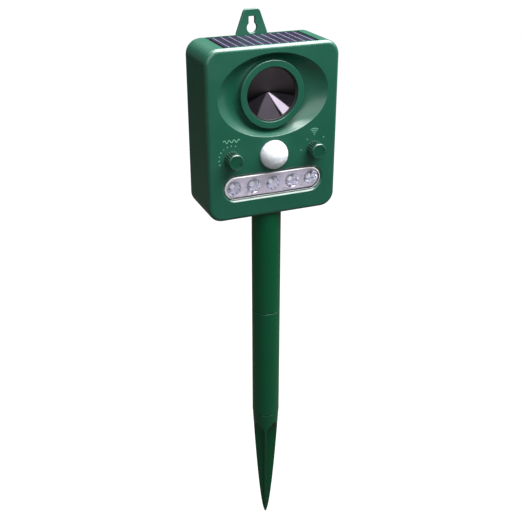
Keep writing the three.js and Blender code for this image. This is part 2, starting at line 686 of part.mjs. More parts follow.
// The lip that plugs into the housing, and the screw bosses cut to fit inside it.
function coverLip() {
  const half = CAVITY_HALF_WIDTH - LIP_INSET;
  const low = WALL + LIP_INSET;
  const high = CAVITY_TOP - LIP_INSET;
  const radius = CAVITY_RADIUS - LIP_INSET;
  const bossFront = COVER_FRONT - COVER_BOSS_LENGTH;
  const lipShape = bandShape(half, low, high, radius, LIP_WALL);
  const lip = slab(lipShape, COVER_FRONT - LIP_LENGTH, COVER_FRONT + ROOT, 2);
  const insideLip = slab(roundedRect(half, low, high, radius), bossFront - OVERRUN, HEAD_DEPTH, 2);
  const bosses = HOUSING_SCREWS.map(([x, z]) => (
    trimmedTo(rod(BOSS_RADIUS, bossFront, COVER_FRONT + ROOT, x, z), insideLip)
  ));
  return [lip, ...bosses];
}

// A shelf behind the door's top edge, with the boss that takes the door's screw.
function doorShelf() {
  const half = TRAY_INNER_HALF + DOOR_SHELF_WIDTH;
  const top = DOOR_TOP + DOOR_SHELF_OVER;
  const low = TRAY_TOP + 2 * TOUCH_GAP;
  return [
    block(-half, half, COVER_FRONT - DOOR_SHELF_THICKNESS, COVER_FRONT, low, top),
    block(-half, half, COVER_FRONT - OVERRUN, COVER_FRONT + ROOT, DOOR_TOP, top),
    rod(DOOR_BOSS_RADIUS, COVER_FRONT - DOOR_BOSS_LENGTH, COVER_FRONT - 0.2, 0, DOOR_SCREW_Z),
  ];
}

// Upright ribs on both sides of the switch and of the charging socket.
function portRibs() {
  const half = PORT_RIB_HEIGHT / 2;
  const offset = SWITCH_SIZE / 2 + TOUCH_GAP + PORT_RIB_WIDTH / 2;
  return [-PORT_OFFSET, PORT_OFFSET].flatMap((x) => [-1, 1].map((side) => {
    const centre = x + side * offset;
    return block(
      centre - PORT_RIB_WIDTH / 2, centre + PORT_RIB_WIDTH / 2,
      COVER_FRONT - PORT_RIB_LENGTH, COVER_FRONT + ROOT,
      PORT_Z - half, PORT_Z + half,
    );
  }));
}

function portBlock(width, height, y0, y1) {
  return block(
    PORT_OFFSET - width / 2, PORT_OFFSET + width / 2,
    y0, y1,
    PORT_Z - height / 2, PORT_Z + height / 2,
  );
}

function backCover() {
  const behind = HEAD_DEPTH + OVERRUN;
  const doorShape = roundedRect(TRAY_INNER_HALF, TRAY_INNER_BOTTOM, DOOR_TOP, DOOR_CORNER + TOUCH_GAP);
  const doorway = slab(doorShape, COVER_FRONT - OVERRUN, behind, 3);
  const screwRecess = HEAD_DEPTH - SCREW_HEAD_SET_BACK - SCREW_HEAD_HEIGHT - TOUCH_GAP;
  const flapFront = HEAD_DEPTH - FLAP_SET_BACK - FLAP_THICKNESS - TOUCH_GAP;
  const [shellWidth, shellHeight] = SOCKET_SHELL;
  const withDoorway = combine(coverPlate(), [...coverLip(), ...portRibs()], [doorway]);
  return combine(withDoorway, doorShelf(), [
    ...HOUSING_SCREWS.map(([x, z]) => rod(SCREW_RADIUS + SCREW_ROOM, 0, behind, x, z, HOLE_SEGMENTS)),
    ...HOUSING_SCREWS.map(([x, z]) => rod(SCREW_HEAD_RADIUS + SCREW_ROOM, screwRecess, behind, x, z)),
    rod(SCREW_RADIUS + SCREW_ROOM, COVER_FRONT - DOOR_BOSS_LENGTH + 1, COVER_FRONT + ROOT, 0, DOOR_SCREW_Z),
    rod(BUTTON_RADIUS + TOUCH_GAP, COVER_FRONT - OVERRUN, behind, -PORT_OFFSET, PORT_Z),
    portBlock(FLAP_WIDTH + 2 * FLAP_ROOM, FLAP_HEIGHT + 2 * FLAP_ROOM, flapFront, behind),
    portBlock(shellWidth + 2 * FLAP_ROOM, shellHeight + 2 * FLAP_ROOM, COVER_FRONT - OVERRUN, HEAD_DEPTH),
  ]);
}

function housingScrew(x, z) {
  const under = HEAD_DEPTH - SCREW_HEAD_SET_BACK - SCREW_HEAD_HEIGHT;
  const tip = under - SCREW_LENGTH;
  return spunBack([
    [0, tip],
    [SCREW_RADIUS / 2, tip],
    [SCREW_RADIUS, tip + SCREW_RADIUS],
    [SCREW_RADIUS, under],
    [SCREW_HEAD_RADIUS, under],
    [SCREW_HEAD_RADIUS, under + SCREW_HEAD_HEIGHT * 0.6],
    [SCREW_HEAD_RADIUS * 0.75, under + SCREW_HEAD_HEIGHT],
    [0, under + SCREW_HEAD_HEIGHT],
  ], x, z, SMALL_SEGMENTS);
}

function makeCasing(head) {
  addPiece(head, "front_housing", frontHousing(), greenPlastic);
  addPiece(head, "back_cover", backCover(), greenPlastic);
  const half = CAVITY_HALF_WIDTH - TOUCH_GAP;
  const radius = CAVITY_RADIUS - TOUCH_GAP;
  const sealShape = bandShape(half, WALL + TOUCH_GAP, CAVITY_TOP - TOUCH_GAP, radius, SEAL_WIDTH);
  addPiece(head, "housing_seal", slab(sealShape, HOUSING_REAR - SEAL_DEPTH, HOUSING_REAR, 2), blackRubber);
  HOUSING_SCREWS.forEach(([x, z], i) => {
    addPiece(head, `housing_screw_${i + 1}`, housingScrew(x, z), steel);
  });
}

// ---------------------------------------------------------------- solar panel

function makePanel(head) {
  const half = HALF_WIDTH - PANEL_SIDE_MARGIN - TOUCH_GAP;
  const front = FRONT_FILLET + TOUCH_GAP;
  const back = HOUSING_REAR - TOUCH_GAP;
  const low = HEAD_HEIGHT - PANEL_RECESS_DEPTH + TOUCH_GAP;
  const top = low + PANEL_BOARD_THICKNESS;
  addPiece(head, "solar_board", block(-half, half, front, back, low, top), panelBlack);
  addPiece(head, "solar_cells", block(
    -half + PANEL_BORDER, half - PANEL_BORDER,
    front + PANEL_BORDER, back - PANEL_BORDER,
    top + TOUCH_GAP, top + TOUCH_GAP + PANEL_CELL_THICKNESS,
  ), panelCell);
}

// ---------------------------------------------------------------- loudspeaker

// The funnel's depth follows a power of its radius, so it steepens towards the tip.
function coneProfile() {
  const front = [];
  const back = [];
  const steps = 4;
  for (let i = 0; i <= steps; i += 1) {
    const share = i / steps;
    const depth = SPEAKER_FRONT + CONE_DEPTH * Math.pow(1 - share, CONE_POWER);
    front.push([share * CONE_RADIUS, depth]);
    if (i < steps) back.push([share * (CONE_RADIUS - TOUCH_GAP), depth + CONE_WALL]);
  }
  const rimFront = SPEAKER_FRONT + SPEAKER_RIM + TOUCH_GAP;
  const rimRadius = SPEAKER_WELL_RADIUS - SCREW_ROOM;
  return [
    ...front,
    [CONE_RADIUS, rimFront],
    [rimRadius, rimFront],
    [rimRadius, rimFront + CONE_WALL],
    [CONE_RADIUS - 1, rimFront + CONE_WALL],
    ...back.reverse(),
  ];
}

function makeSpeaker(head) {
  const gasketInner = MOUTH_RADIUS - GASKET_SHOWING;
  const gasketBack = GASKET_FRONT + GASKET_THICKNESS;
  const gasket = ringProfile(gasketInner, SPEAKER_RADIUS, GASKET_FRONT, gasketBack);
  addPiece(head, "speaker_gasket", spunBack(gasket, 0, DISH_Z, WIDE_SEGMENTS), blackRubber);

  const throat = CONE_RADIUS + SCREW_ROOM;
  addPiece(head, "speaker_frame", spunBack([
    [throat, SPEAKER_FRONT],
    [SPEAKER_RADIUS, SPEAKER_FRONT],
    [SPEAKER_RADIUS, SPEAKER_BACK],
    [0, SPEAKER_BACK],
    [0, SPEAKER_BACK - SPEAKER_WALL],
    [SPEAKER_WELL_RADIUS, SPEAKER_BACK - SPEAKER_WALL],
    [SPEAKER_WELL_RADIUS, SPEAKER_FRONT + SPEAKER_RIM],
    [throat, SPEAKER_FRONT + SPEAKER_RIM],
    [throat, SPEAKER_FRONT],
  ], 0, DISH_Z, WIDE_SEGMENTS), blackPlastic);
  addPiece(head, "speaker_cone", spunBack(coneProfile(), 0, DISH_Z, WIDE_SEGMENTS), darkMetal);

  const piezoFront = SPEAKER_FRONT + CONE_DEPTH + CONE_WALL + TOUCH_GAP;
  const piezo = rod(
    SPEAKER_WELL_RADIUS * PIEZO_SHARE, piezoFront, piezoFront + PIEZO_THICKNESS, 0, DISH_Z, TURN_SEGMENTS,
  );
  addPiece(head, "piezo_disc", piezo, brass);
}

// ---------------------------------------------------------------- motion sensor

function makeSensor(head) {
  const innerRadius = SENSOR_LENS_RADIUS - SENSOR_LENS_WALL;
  const innerHeight = SENSOR_LENS_HEIGHT - SENSOR_LENS_WALL;
  const outer = [];
  const inner = [];
  const steps = 5;
  for (let i = 0; i <= steps; i += 1) {
    const angle = (i / steps) * (Math.PI / 2);
    outer.push([SENSOR_LENS_RADIUS * Math.sin(angle), -SENSOR_LENS_HEIGHT * Math.cos(angle)]);
    inner.push([innerRadius * Math.sin(angle), -innerHeight * Math.cos(angle)]);
  }
  addPiece(head, "sensor_lens", spunBack([
    ...outer,
    [SENSOR_LENS_RADIUS, SENSOR_FLANGE_FRONT],
    [SENSOR_FLANGE_RADIUS, SENSOR_FLANGE_FRONT],
    [SENSOR_FLANGE_RADIUS, SENSOR_FLANGE_BACK],
    [innerRadius, SENSOR_FLANGE_BACK],
    ...inner.reverse(),
  ], 0, SENSOR_Z), lensPlastic);
  const retainerFront = SENSOR_FLANGE_BACK + TOUCH_GAP;
  const retainerBack = retainerFront + RETAINER_THICKNESS;
  const retainer = ringProfile(innerRadius, SENSOR_FLANGE_RADIUS, retainerFront, retainerBack);
  addPiece(head, "lens_retainer", spunBack(retainer, 0, SENSOR_Z), blackPlastic);
  const base = BOARD_FRONT - TOUCH_GAP;
  addPiece(head, "motion_sensor", spunBack([
    [0, base - SENSOR_CAN_HEIGHT],
    [SENSOR_CAN_RADIUS, base - SENSOR_CAN_HEIGHT],
    [SENSOR_CAN_RADIUS, base - SENSOR_BRIM_HEIGHT],
    [SENSOR_CAN_RADIUS + SENSOR_BRIM, base - SENSOR_BRIM_HEIGHT],
    [SENSOR_CAN_RADIUS + SENSOR_BRIM, base],
    [0, base],
  ], 0, SENSOR_Z, SHAFT_SEGMENTS), steel);
}

// ---------------------------------------------------------------- knobs

// Ribs round the skirt, a chamfered face and a pointer groove that runs out to the rim.
function knobGeometry(pointerAngle) {
  const foot = -TOUCH_GAP;
  const face = foot - KNOB_HEIGHT;
  const stations = [[0, foot], [0, face + KNOB_CHAMFER], [KNOB_CHAMFER, face]];
  const points = 2 * KNOB_RIBS;
  const rings = stations.map(([inset, y]) => {
    const ring = [];
    for (let i = 0; i < points; i += 1) {
      const angle = (i / points) * 2 * Math.PI;
      const valley = i % 2 === 0 ? 0 : KNOB_RIB_DEPTH;
      const radius = KNOB_RADIUS - inset - valley;
      ring.push(new THREE.Vector3(radius * Math.cos(angle), y, radius * Math.sin(angle)));
    }
    return ring;
  });
  const bore = rod(SHAFT_RADIUS + TOUCH_GAP, face + KNOB_TOP, foot + OVERRUN, 0, 0);
  const half = POINTER_WIDTH / 2;
  const groove = block(
    POINTER_START, KNOB_RADIUS + OVERRUN, face - OVERRUN, face + POINTER_DEPTH, -half, half,
  );
  return combine(loft(rings), [], [bore, groove.rotateY(-pointerAngle)]);
}

function makeKnob(head, name, x, pointerAngle) {
  addPiece(head, `knob_${name}`, knobGeometry(pointerAngle).translate(x, 0, KNOB_Z), darkGreenPlastic);
  const shaftFront = KNOB_TOP - KNOB_HEIGHT;
  const shaft = rod(SHAFT_RADIUS, shaftFront, POT_FRONT + SHAFT_IN_POT, x, KNOB_Z, SHAFT_SEGMENTS);
  addPiece(head, `shaft_${name}`, shaft, steel);
  const half = POT_SIZE / 2;
  const body = block(x - half, x + half, POT_FRONT, BOARD_FRONT - TOUCH_GAP, KNOB_Z - half, KNOB_Z + half);
  const bushing = rod(
    SHAFT_RADIUS + POT_BUSHING_WALL, WALL + 2 * TOUCH_GAP, POT_FRONT + ROOT, x, KNOB_Z, SHAFT_SEGMENTS,
  );
  const bore = rod(
    SHAFT_RADIUS + TOUCH_GAP, 0, POT_FRONT + SHAFT_IN_POT + TOUCH_GAP, x, KNOB_Z, SHAFT_SEGMENTS,
  );
  addPiece(head, `potentiometer_${name}`, combine(body, [bushing], [bore]), blackPlastic);
}

// ---------------------------------------------------------------- light strip

function stripSlab(extra, y0, y1) {
  return slab(stadium(STRIP_HALF_LENGTH + extra, STRIP_HEIGHT / 2 + extra, STRIP_Z), y0, y1);
}

// The cup's cutter: a cone that narrows to the lamp's hole, and the hole behind it.
function lampCup(x) {
  return spunBack([
    [0, REFLECTOR_FRONT - OVERRUN],
    [LED_CUP_RADIUS, REFLECTOR_FRONT - OVERRUN],
    [LED_CUP_RADIUS, REFLECTOR_FRONT],
    [LED_HOLE_RADIUS, REFLECTOR_FRONT + CUP_DEPTH],
    [LED_HOLE_RADIUS, REFLECTOR_BACK + OVERRUN],
    [0, REFLECTOR_BACK + OVERRUN],
  ], x, STRIP_Z, 12);
}

function lamp(x) {
  const seat = LED_BOARD_FRONT - TOUCH_GAP;
  return spunBack([
    [0, seat - LED_HEIGHT],
    [LED_RADIUS * 0.6, seat - LED_HEIGHT + LED_DOME_HEIGHT / 4],
    [LED_RADIUS, seat - LED_HEIGHT + LED_DOME_HEIGHT],
    [LED_RADIUS, seat - LED_RIM_HEIGHT],
    [LED_RIM_RADIUS, seat - LED_RIM_HEIGHT],
    [LED_RIM_RADIUS, seat],
    [0, seat],
  ], x, STRIP_Z);
}

function makeLightStrip(head) {
  const pane = stripSlab(-TOUCH_GAP, STRIP_RECESS, WINDOW_FLANGE_FRONT + ROOT);
  const flange = stripSlab(
    STRIP_FLANGE, WINDOW_FLANGE_FRONT, WINDOW_FLANGE_FRONT + WINDOW_FLANGE_THICKNESS,
  );
  addPiece(head, "light_window", combine(pane, [flange]), clearPlastic);
  const places = [];
  for (let i = 0; i < LED_COUNT; i += 1) places.push((i - (LED_COUNT - 1) / 2) * LED_PITCH);
  places.forEach((x, i) => addPiece(head, `led_${i + 1}`, lamp(x), clearPlastic));
  const plate = stripSlab(-TOUCH_GAP, REFLECTOR_FRONT, REFLECTOR_BACK);
  addPiece(head, "light_reflector", combine(plate, [], places.map(lampCup)), mirrorPlastic);
  addPiece(head, "led_board", stripSlab(-TOUCH_GAP, LED_BOARD_FRONT, LED_BOARD_BACK), circuitBoard);
  const plugX = LED_PLUG_INSET - STRIP_HALF_LENGTH;
  addPiece(head, "led_connector", block(
    plugX - LED_PLUG_LENGTH / 2, plugX + LED_PLUG_LENGTH / 2,
    LED_BOARD_BACK + TOUCH_GAP, BOARD_FRONT - TOUCH_GAP,
    STRIP_Z - LED_PLUG_HEIGHT / 2, STRIP_Z + LED_PLUG_HEIGHT / 2,
  ), blackPlastic);
}

// ---------------------------------------------------------------- circuit board

function boardScrew(x, z) {
  const under = BOARD_BACK + TOUCH_GAP;
  const tip = under - BOARD_SCREW_LENGTH;
  return spunBack([
    [0, tip],
    [BOARD_SCREW_RADIUS, tip],
    [BOARD_SCREW_RADIUS, under],
    [BOARD_SCREW_HEAD_RADIUS, under],
    [BOARD_SCREW_HEAD_RADIUS, under + BOARD_SCREW_HEAD_HEIGHT],
    [0, under + BOARD_SCREW_HEAD_HEIGHT],
  ], x, z);
}

// A part on the front of the circuit board: a square foot with a round can on it.
function boardPart(x, half, footHeight, canRadius, canHeight) {
  const seat = BOARD_FRONT - TOUCH_GAP;
  const foot = block(x - half, x + half, seat - footHeight, seat, STRIP_Z - half, STRIP_Z + half);
  const can = rod(canRadius, seat - canHeight, seat - footHeight / 2, x, STRIP_Z, SHAFT_SEGMENTS);
  return combine(foot, [can]);
}

function makeBoard(head) {
  const plate = block(-BOARD_HALF_WIDTH, BOARD_HALF_WIDTH, BOARD_FRONT, BOARD_BACK, BOARD_BOTTOM, BOARD_TOP);
  const holes = BOARD_POSTS.map(([x, z]) => (
    rod(BOARD_SCREW_RADIUS + BOARD_SCREW_ROOM, BOARD_FRONT - OVERRUN, BOARD_BACK + OVERRUN, x, z)
  ));
  addPiece(head, "main_board", combine(plate, [], holes), circuitBoard);
  BOARD_POSTS.filter(([, z]) => z === POST_HIGH_Z).forEach(([x, z], i) => {
    addPiece(head, `board_screw_${i + 1}`, boardScrew(x, z), steel);
  });
  addPiece(head, "step_up_coil", boardPart(0, 6, 1.2, 5, 4.6), blackPlastic);
  addPiece(head, "capacitor", boardPart(BOARD_PART_SPREAD, 4, 1, 3.6, 4.8), steel);
  const seat = BOARD_FRONT - TOUCH_GAP;
  const [chipHalf, chipHalfHeight, chipDepth] = [5, 3, 1.4];
  addPiece(head, "control_chip", block(
    -BOARD_PART_SPREAD - chipHalf, -BOARD_PART_SPREAD + chipHalf,
    seat - chipDepth, seat,
    STRIP_Z - chipHalfHeight, STRIP_Z + chipHalfHeight,
  ), blackPlastic);
}

// ---------------------------------------------------------------- battery compartment

function batteryTray() {
  const outer = block(
    -TRAY_OUTER_HALF, TRAY_OUTER_HALF, TRAY_FRONT, TRAY_REAR, TRAY_BOTTOM, TRAY_TOP,
  );
  const inner = block(
    -TRAY_INNER_HALF, TRAY_INNER_HALF,
    TRAY_FRONT + TRAY_WALL, TRAY_REAR + OVERRUN,
    TRAY_INNER_BOTTOM, TRAY_INNER_TOP,
  );
  return combine(outer, [], [inner]);
}

// A cell with its raised end towards +X when the direction is 1, or -X when it is -1.
function batteryCell(direction) {
  const half = CELL_LENGTH / 2;
  const edge = CELL_RADIUS - CELL_EDGE;
  return spunBack([
    [0, -half],
    [edge, -half],
    [CELL_RADIUS, -half + CELL_EDGE],
    [CELL_RADIUS, half - CELL_EDGE],
    [edge, half],
    [CELL_NUB_RADIUS, half],
    [CELL_NUB_RADIUS, half + CELL_NUB],
    [0, half + CELL_NUB],
  ], 0, 0, SHAFT_SEGMENTS).rotateZ((-direction * Math.PI) / 2);
}

// A spring strip inside one end wall, with a bump for each cell.
function batteryContact(side) {
  const wall = side * (TRAY_INNER_HALF - TOUCH_GAP);
  const face = wall - side * CONTACT_THICKNESS;
  const strip = block(
    Math.min(wall, face), Math.max(wall, face),
    CELL_Y - CONTACT_WIDTH / 2, CELL_Y + CONTACT_WIDTH / 2,
    TRAY_INNER_BOTTOM + 1, TRAY_INNER_TOP - 1,
  );
  const bumps = cellHeights().map((z) => {
    const profile = [[0, 0], [CELL_NUB_RADIUS, 0], [CELL_NUB_RADIUS / 2, CONTACT_BUMP], [0, CONTACT_BUMP]];
    const bump = spunBack(profile, 0, 0, HOLE_SEGMENTS).rotateZ((side * Math.PI) / 2);
    return bump.translate(face + side * 0.05, CELL_Y, z);
  });
  return combine(strip, bumps);
}

function cellHeights() {
  const heights = [];
  for (let i = 0; i < CELL_COUNT; i += 1) heights.push(TRAY_Z + (i - (CELL_COUNT - 1) / 2) * CELL_PITCH);
  return heights;
}

function makeBattery(head) {
  addPiece(head, "battery_tray", batteryTray(), blackPlastic);
  const inset = COMPARTMENT_SEAL_INSET;
  const sealShape = bandShape(
    TRAY_OUTER_HALF - inset, TRAY_BOTTOM + inset, TRAY_TOP - inset, 1.2, TRAY_WALL - 2 * inset,
  );
  const sealFront = TRAY_REAR + TOUCH_GAP;
  const seal = slab(sealShape, sealFront, sealFront + COMPARTMENT_SEAL_THICKNESS, 2);
  addPiece(head, "compartment_seal", seal, blackRubber);
  cellHeights().forEach((z, i) => {
    const cell = batteryCell(i % 2 === 0 ? 1 : -1).translate(0, CELL_Y, z);
    addPiece(head, `battery_cell_${i + 1}`, cell, cellWrap);
  });
  addPiece(head, "battery_contact_left", batteryContact(-1), steel);
  addPiece(head, "battery_contact_right", batteryContact(1), steel);
}

function makeDoor(head) {
  const behind = HEAD_DEPTH + OVERRUN;
  const half = TRAY_INNER_HALF - TOUCH_GAP;
  const doorShape = roundedRect(half, TRAY_INNER_BOTTOM + TOUCH_GAP, DOOR_TOP - TOUCH_GAP, DOOR_CORNER);
  const plate = slab(doorShape, DOOR_FRONT, DOOR_FRONT + DOOR_THICKNESS);
  const seat = DOOR_FRONT + DOOR_SCREW_SEAT;
  const gripLow = TRAY_INNER_BOTTOM + DOOR_GRIP_RISE;
  const gripFront = DOOR_FRONT + DOOR_THICKNESS - DOOR_GRIP_DEPTH;
  addPiece(head, "battery_door", combine(plate, [], [
    rod(SCREW_RADIUS + SCREW_ROOM, DOOR_FRONT - OVERRUN, behind, 0, DOOR_SCREW_Z),
    rod(SCREW_HEAD_RADIUS + SCREW_ROOM, seat, behind, 0, DOOR_SCREW_Z),
    ...DOOR_GRIPS.map((x) => block(
      x - DOOR_GRIP_WIDTH / 2, x + DOOR_GRIP_WIDTH / 2,
      gripFront, behind,
      gripLow, gripLow + DOOR_GRIP_LENGTH,
    )),
  ]), greenPlastic);
  const under = seat + TOUCH_GAP;
  addPiece(head, "door_screw", spunBack([
    [0, under - DOOR_SCREW_LENGTH],
    [SCREW_RADIUS, under - DOOR_SCREW_LENGTH + ROOT],
    [SCREW_RADIUS, under],
    [SCREW_HEAD_RADIUS, under],
    [SCREW_HEAD_RADIUS, under + DOOR_SCREW_HEAD_HEIGHT - 0.2],
    [0, under + DOOR_SCREW_HEAD_HEIGHT],
  ], 0, DOOR_SCREW_Z, 12), steel);
}

// ---------------------------------------------------------------- switch and charging socket

function makePorts(head) {
  const half = SWITCH_SIZE / 2;
  const switchRear = COVER_FRONT - SWITCH_SET_BACK;
  const body = block(
    -PORT_OFFSET - half, -PORT_OFFSET + half,
    switchRear - SWITCH_DEPTH, switchRear,
    PORT_Z - half, PORT_Z + half,
  );
  const boreFront = switchRear - SWITCH_BORE_DEPTH;
  const stemBore = rod(
    BUTTON_STEM_RADIUS + TOUCH_GAP, boreFront, switchRear + OVERRUN, -PORT_OFFSET, PORT_Z,
  );
  addPiece(head, "power_switch", combine(body, [], [stemBore]), blackPlastic);
  const brim = COVER_FRONT - 2 * TOUCH_GAP;
  const face = HEAD_DEPTH - FLAP_SET_BACK;
  addPiece(head, "power_button", spunBack([
    [0, brim - BUTTON_STEM_LENGTH],
    [BUTTON_STEM_RADIUS, brim - BUTTON_STEM_LENGTH],
    [BUTTON_STEM_RADIUS, brim],
    [BUTTON_RADIUS, brim],
    [BUTTON_RADIUS, face - BUTTON_EDGE],
    [BUTTON_RADIUS - BUTTON_EDGE, face],
    [0, face],
  ], -PORT_OFFSET, PORT_Z, SHAFT_SEGMENTS), blackRubber);

  const [width, height] = SOCKET_SHELL;
  const shellRear = COVER_FRONT + SOCKET_SHELL_PROUD;
  const shellFront = shellRear - SOCKET_SHELL_LENGTH;
  const shell = portBlock(width, height, shellFront, shellRear);
  const mouthFront = shellFront + SOCKET_SHELL_FLOOR;
  const mouth = portBlock(
    width - 2 * SOCKET_SHELL_WALL, height - 2 * SOCKET_SHELL_WALL, mouthFront, shellRear + OVERRUN,
  );
  addPiece(head, "charging_socket", combine(shell, [], [mouth]), steel);
  const flap = portBlock(FLAP_WIDTH, FLAP_HEIGHT, face - FLAP_THICKNESS, face);
  addPiece(head, "charging_flap", flap, blackRubber);
}

// ---------------------------------------------------------------- internal leads

function makeLeads(head) {
  const boardFace = BOARD_BACK + LEAD_END_GAP;
  const boardX = BOARD_HALF_WIDTH - LEAD_BOARD_INSET;
  const boardZ = BOARD_TOP - LEAD_BELOW_BOARD_TOP;
  const panelX = HALF_WIDTH - PANEL_SIDE_MARGIN - PANEL_LEAD_INSET;
  const panelZ = HEAD_HEIGHT - PANEL_RECESS_DEPTH - LEAD_END_GAP;
  addPiece(head, "solar_lead", leadAlong([
    [panelX, PANEL_LEAD_Y, panelZ],
    [panelX, PANEL_LEAD_Y, panelZ - 16],
    [panelX + 3, PANEL_LEAD_Y - 1, DISH_Z],
    [boardX, PANEL_LEAD_Y - 3, DISH_Z - 16],
    [boardX, boardFace + 5, BOARD_TOP - 1],
    [boardX, boardFace + 2, boardZ],
    [boardX, boardFace, boardZ],
  ]), wireSleeve);
  const speakerFace = SPEAKER_BACK + LEAD_END_GAP;
  const terminal = SPEAKER_WELL_RADIUS / 2;
  addPiece(head, "speaker_lead", leadAlong([
    [-terminal, speakerFace, DISH_Z - terminal],
    [-terminal, speakerFace + 2, DISH_Z - terminal],
    [-2 * terminal, speakerFace + 2, DISH_Z - 1.5 * terminal],
    [-boardX, speakerFace + 1, BOARD_TOP + 6],
    [-boardX, boardFace + 2, boardZ],
    [-boardX, boardFace, boardZ],
  ]), wireSleeve);
  const trayX = -(TRAY_OUTER_HALF + LEAD_END_GAP);
  addPiece(head, "battery_lead", leadAlong([
    [trayX, CELL_Y, TRAY_Z],
    [trayX - 4, CELL_Y, TRAY_Z],
    [trayX - 5.5, CELL_Y - 6, TRAY_Z],
    [-boardX, boardFace + 4, TRAY_Z],
    [-boardX, boardFace, TRAY_Z],
  ]), wireSleeve);
}

// ---------------------------------------------------------------- stake

function upperTube() {
  const top = HEAD_BASE + SOCKET_DEPTH - TOUCH_GAP;
  const bottom = LOWER_TUBE_BODY + TOUCH_GAP;
  return spunUp(ringProfile(TUBE_RADIUS - TUBE_WALL, TUBE_RADIUS, bottom, top));
}

// A reduced neck at the top goes up inside the upper tube.
function lowerTube() {
  const neckRadius = TUBE_RADIUS - TUBE_WALL - SLIDING_GAP;
  const neckBore = neckRadius - TUBE_WALL;
  const neckTop = LOWER_TUBE_BODY + NECK_LENGTH;
  const bodyBore = TUBE_RADIUS - TUBE_WALL;
  const shoulder = LOWER_TUBE_BODY - NECK_SHOULDER;
  return spunUp([
    [bodyBore, TOUCH_GAP],
    [TUBE_RADIUS, TOUCH_GAP],
    [TUBE_RADIUS, LOWER_TUBE_BODY],
    [neckRadius, LOWER_TUBE_BODY],
    [neckRadius, neckTop - PUSH_FIT_CHAMFER],
    [neckRadius - PUSH_FIT_CHAMFER, neckTop],
    [neckBore, neckTop],
    [neckBore, shoulder],
    [bodyBore, shoulder - NECK_SLOPE],
    [bodyBore, TOUCH_GAP],
  ]);
}

// One quarter of the room between the fins: a square column whose inner corner
// swings outwards on a quarter ellipse under the collar, which leaves an arch.
function finPocket() {
  const reach = TUBE_RADIUS + OVERRUN;
  const corner = FIN_THICKNESS / 2;
  const rise = TUBE_RADIUS - corner - SPIKE_SCOOP_WALL;
  const scoopFoot = -SPIKE_COLLAR_HEIGHT - SPIKE_SCOOP_HEIGHT;
  const stations = [[corner, -SPIKE_LENGTH - OVERRUN], [corner, scoopFoot]];
  const steps = 5;
  for (let i = 1; i <= steps; i += 1) {
    const angle = (i / steps) * (Math.PI / 2);
    stations.push([corner + rise * (1 - Math.cos(angle)), scoopFoot + SPIKE_SCOOP_HEIGHT * Math.sin(angle)]);
  }
  return loft(stations.map(([low, z]) => [
    new THREE.Vector3(low, low, z),
    new THREE.Vector3(reach, low, z),
    new THREE.Vector3(reach, reach, z),
    new THREE.Vector3(low, reach, z),
  ]));
}

// The half width grows with a power of the height above the tip. Stations crowd
// towards the tip, where the outline turns fastest.
function spike() {
  const topRadius = TUBE_RADIUS - SPIKE_STEP_IN;
  const spigotRadius = TUBE_RADIUS - TUBE_WALL - SLIDING_GAP;
  const spigotBore = spigotRadius - SPIGOT_WALL;
  const profile = [[0, -SPIKE_LENGTH]];
  const steps = 9;
  const crowding = 1.6;
  for (let i = 1; i <= steps; i += 1) {
    const share = Math.pow(i / steps, crowding);
    profile.push([topRadius * Math.pow(share, SPIKE_TAPER_POWER), -SPIKE_LENGTH * (1 - share)]);
  }
  profile.push(
    [spigotRadius, 0],
    [spigotRadius, SPIGOT_LENGTH - PUSH_FIT_CHAMFER],
    [spigotRadius - PUSH_FIT_CHAMFER, SPIGOT_LENGTH],
    [spigotBore, SPIGOT_LENGTH],
    [spigotBore, SPIGOT_FLOOR],
    [0, SPIGOT_FLOOR],
  );
  const pockets = [];
  for (let i = 0; i < 4; i += 1) pockets.push(finPocket().rotateZ((i * Math.PI) / 2));
  return combine(spunUp(profile), [], pockets).rotateZ(SPIKE_TURN);
}

// ---------------------------------------------------------------- assembly

const repeller = new THREE.Group();
addPiece(repeller, "ground_spike", spike(), darkGreenPlastic);
addPiece(repeller, "lower_tube", lowerTube(), darkGreenPlastic);
addPiece(repeller, "upper_tube", upperTube(), darkGreenPlastic);

const head = new THREE.Group();
head.position.set(0, -STAKE_SETBACK, HEAD_BASE);
repeller.add(head);
makeCasing(head);
makePanel(head);
makeSpeaker(head);
makeSensor(head);
makeKnob(head, "frequency", -KNOB_X, FREQUENCY_POINTER);
makeKnob(head, "sensitivity", KNOB_X, SENSITIVITY_POINTER);
makeLightStrip(head);
makeBoard(head);
makeBattery(head);
makeDoor(head);
makePorts(head);
makeLeads(head);

export default repeller;
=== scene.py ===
"""Garden pest repeller: the looks of a solar sounder on its stake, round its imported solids.

Shapes are worked out in millimetres. The head's pieces count from the middle of the head's
lower front edge: X to the right, Y back from the front plane, Z up. The stake's pieces count
from the stake's axis at the spike's shoulder. Each piece is then put into metres.
"""
import json
import math

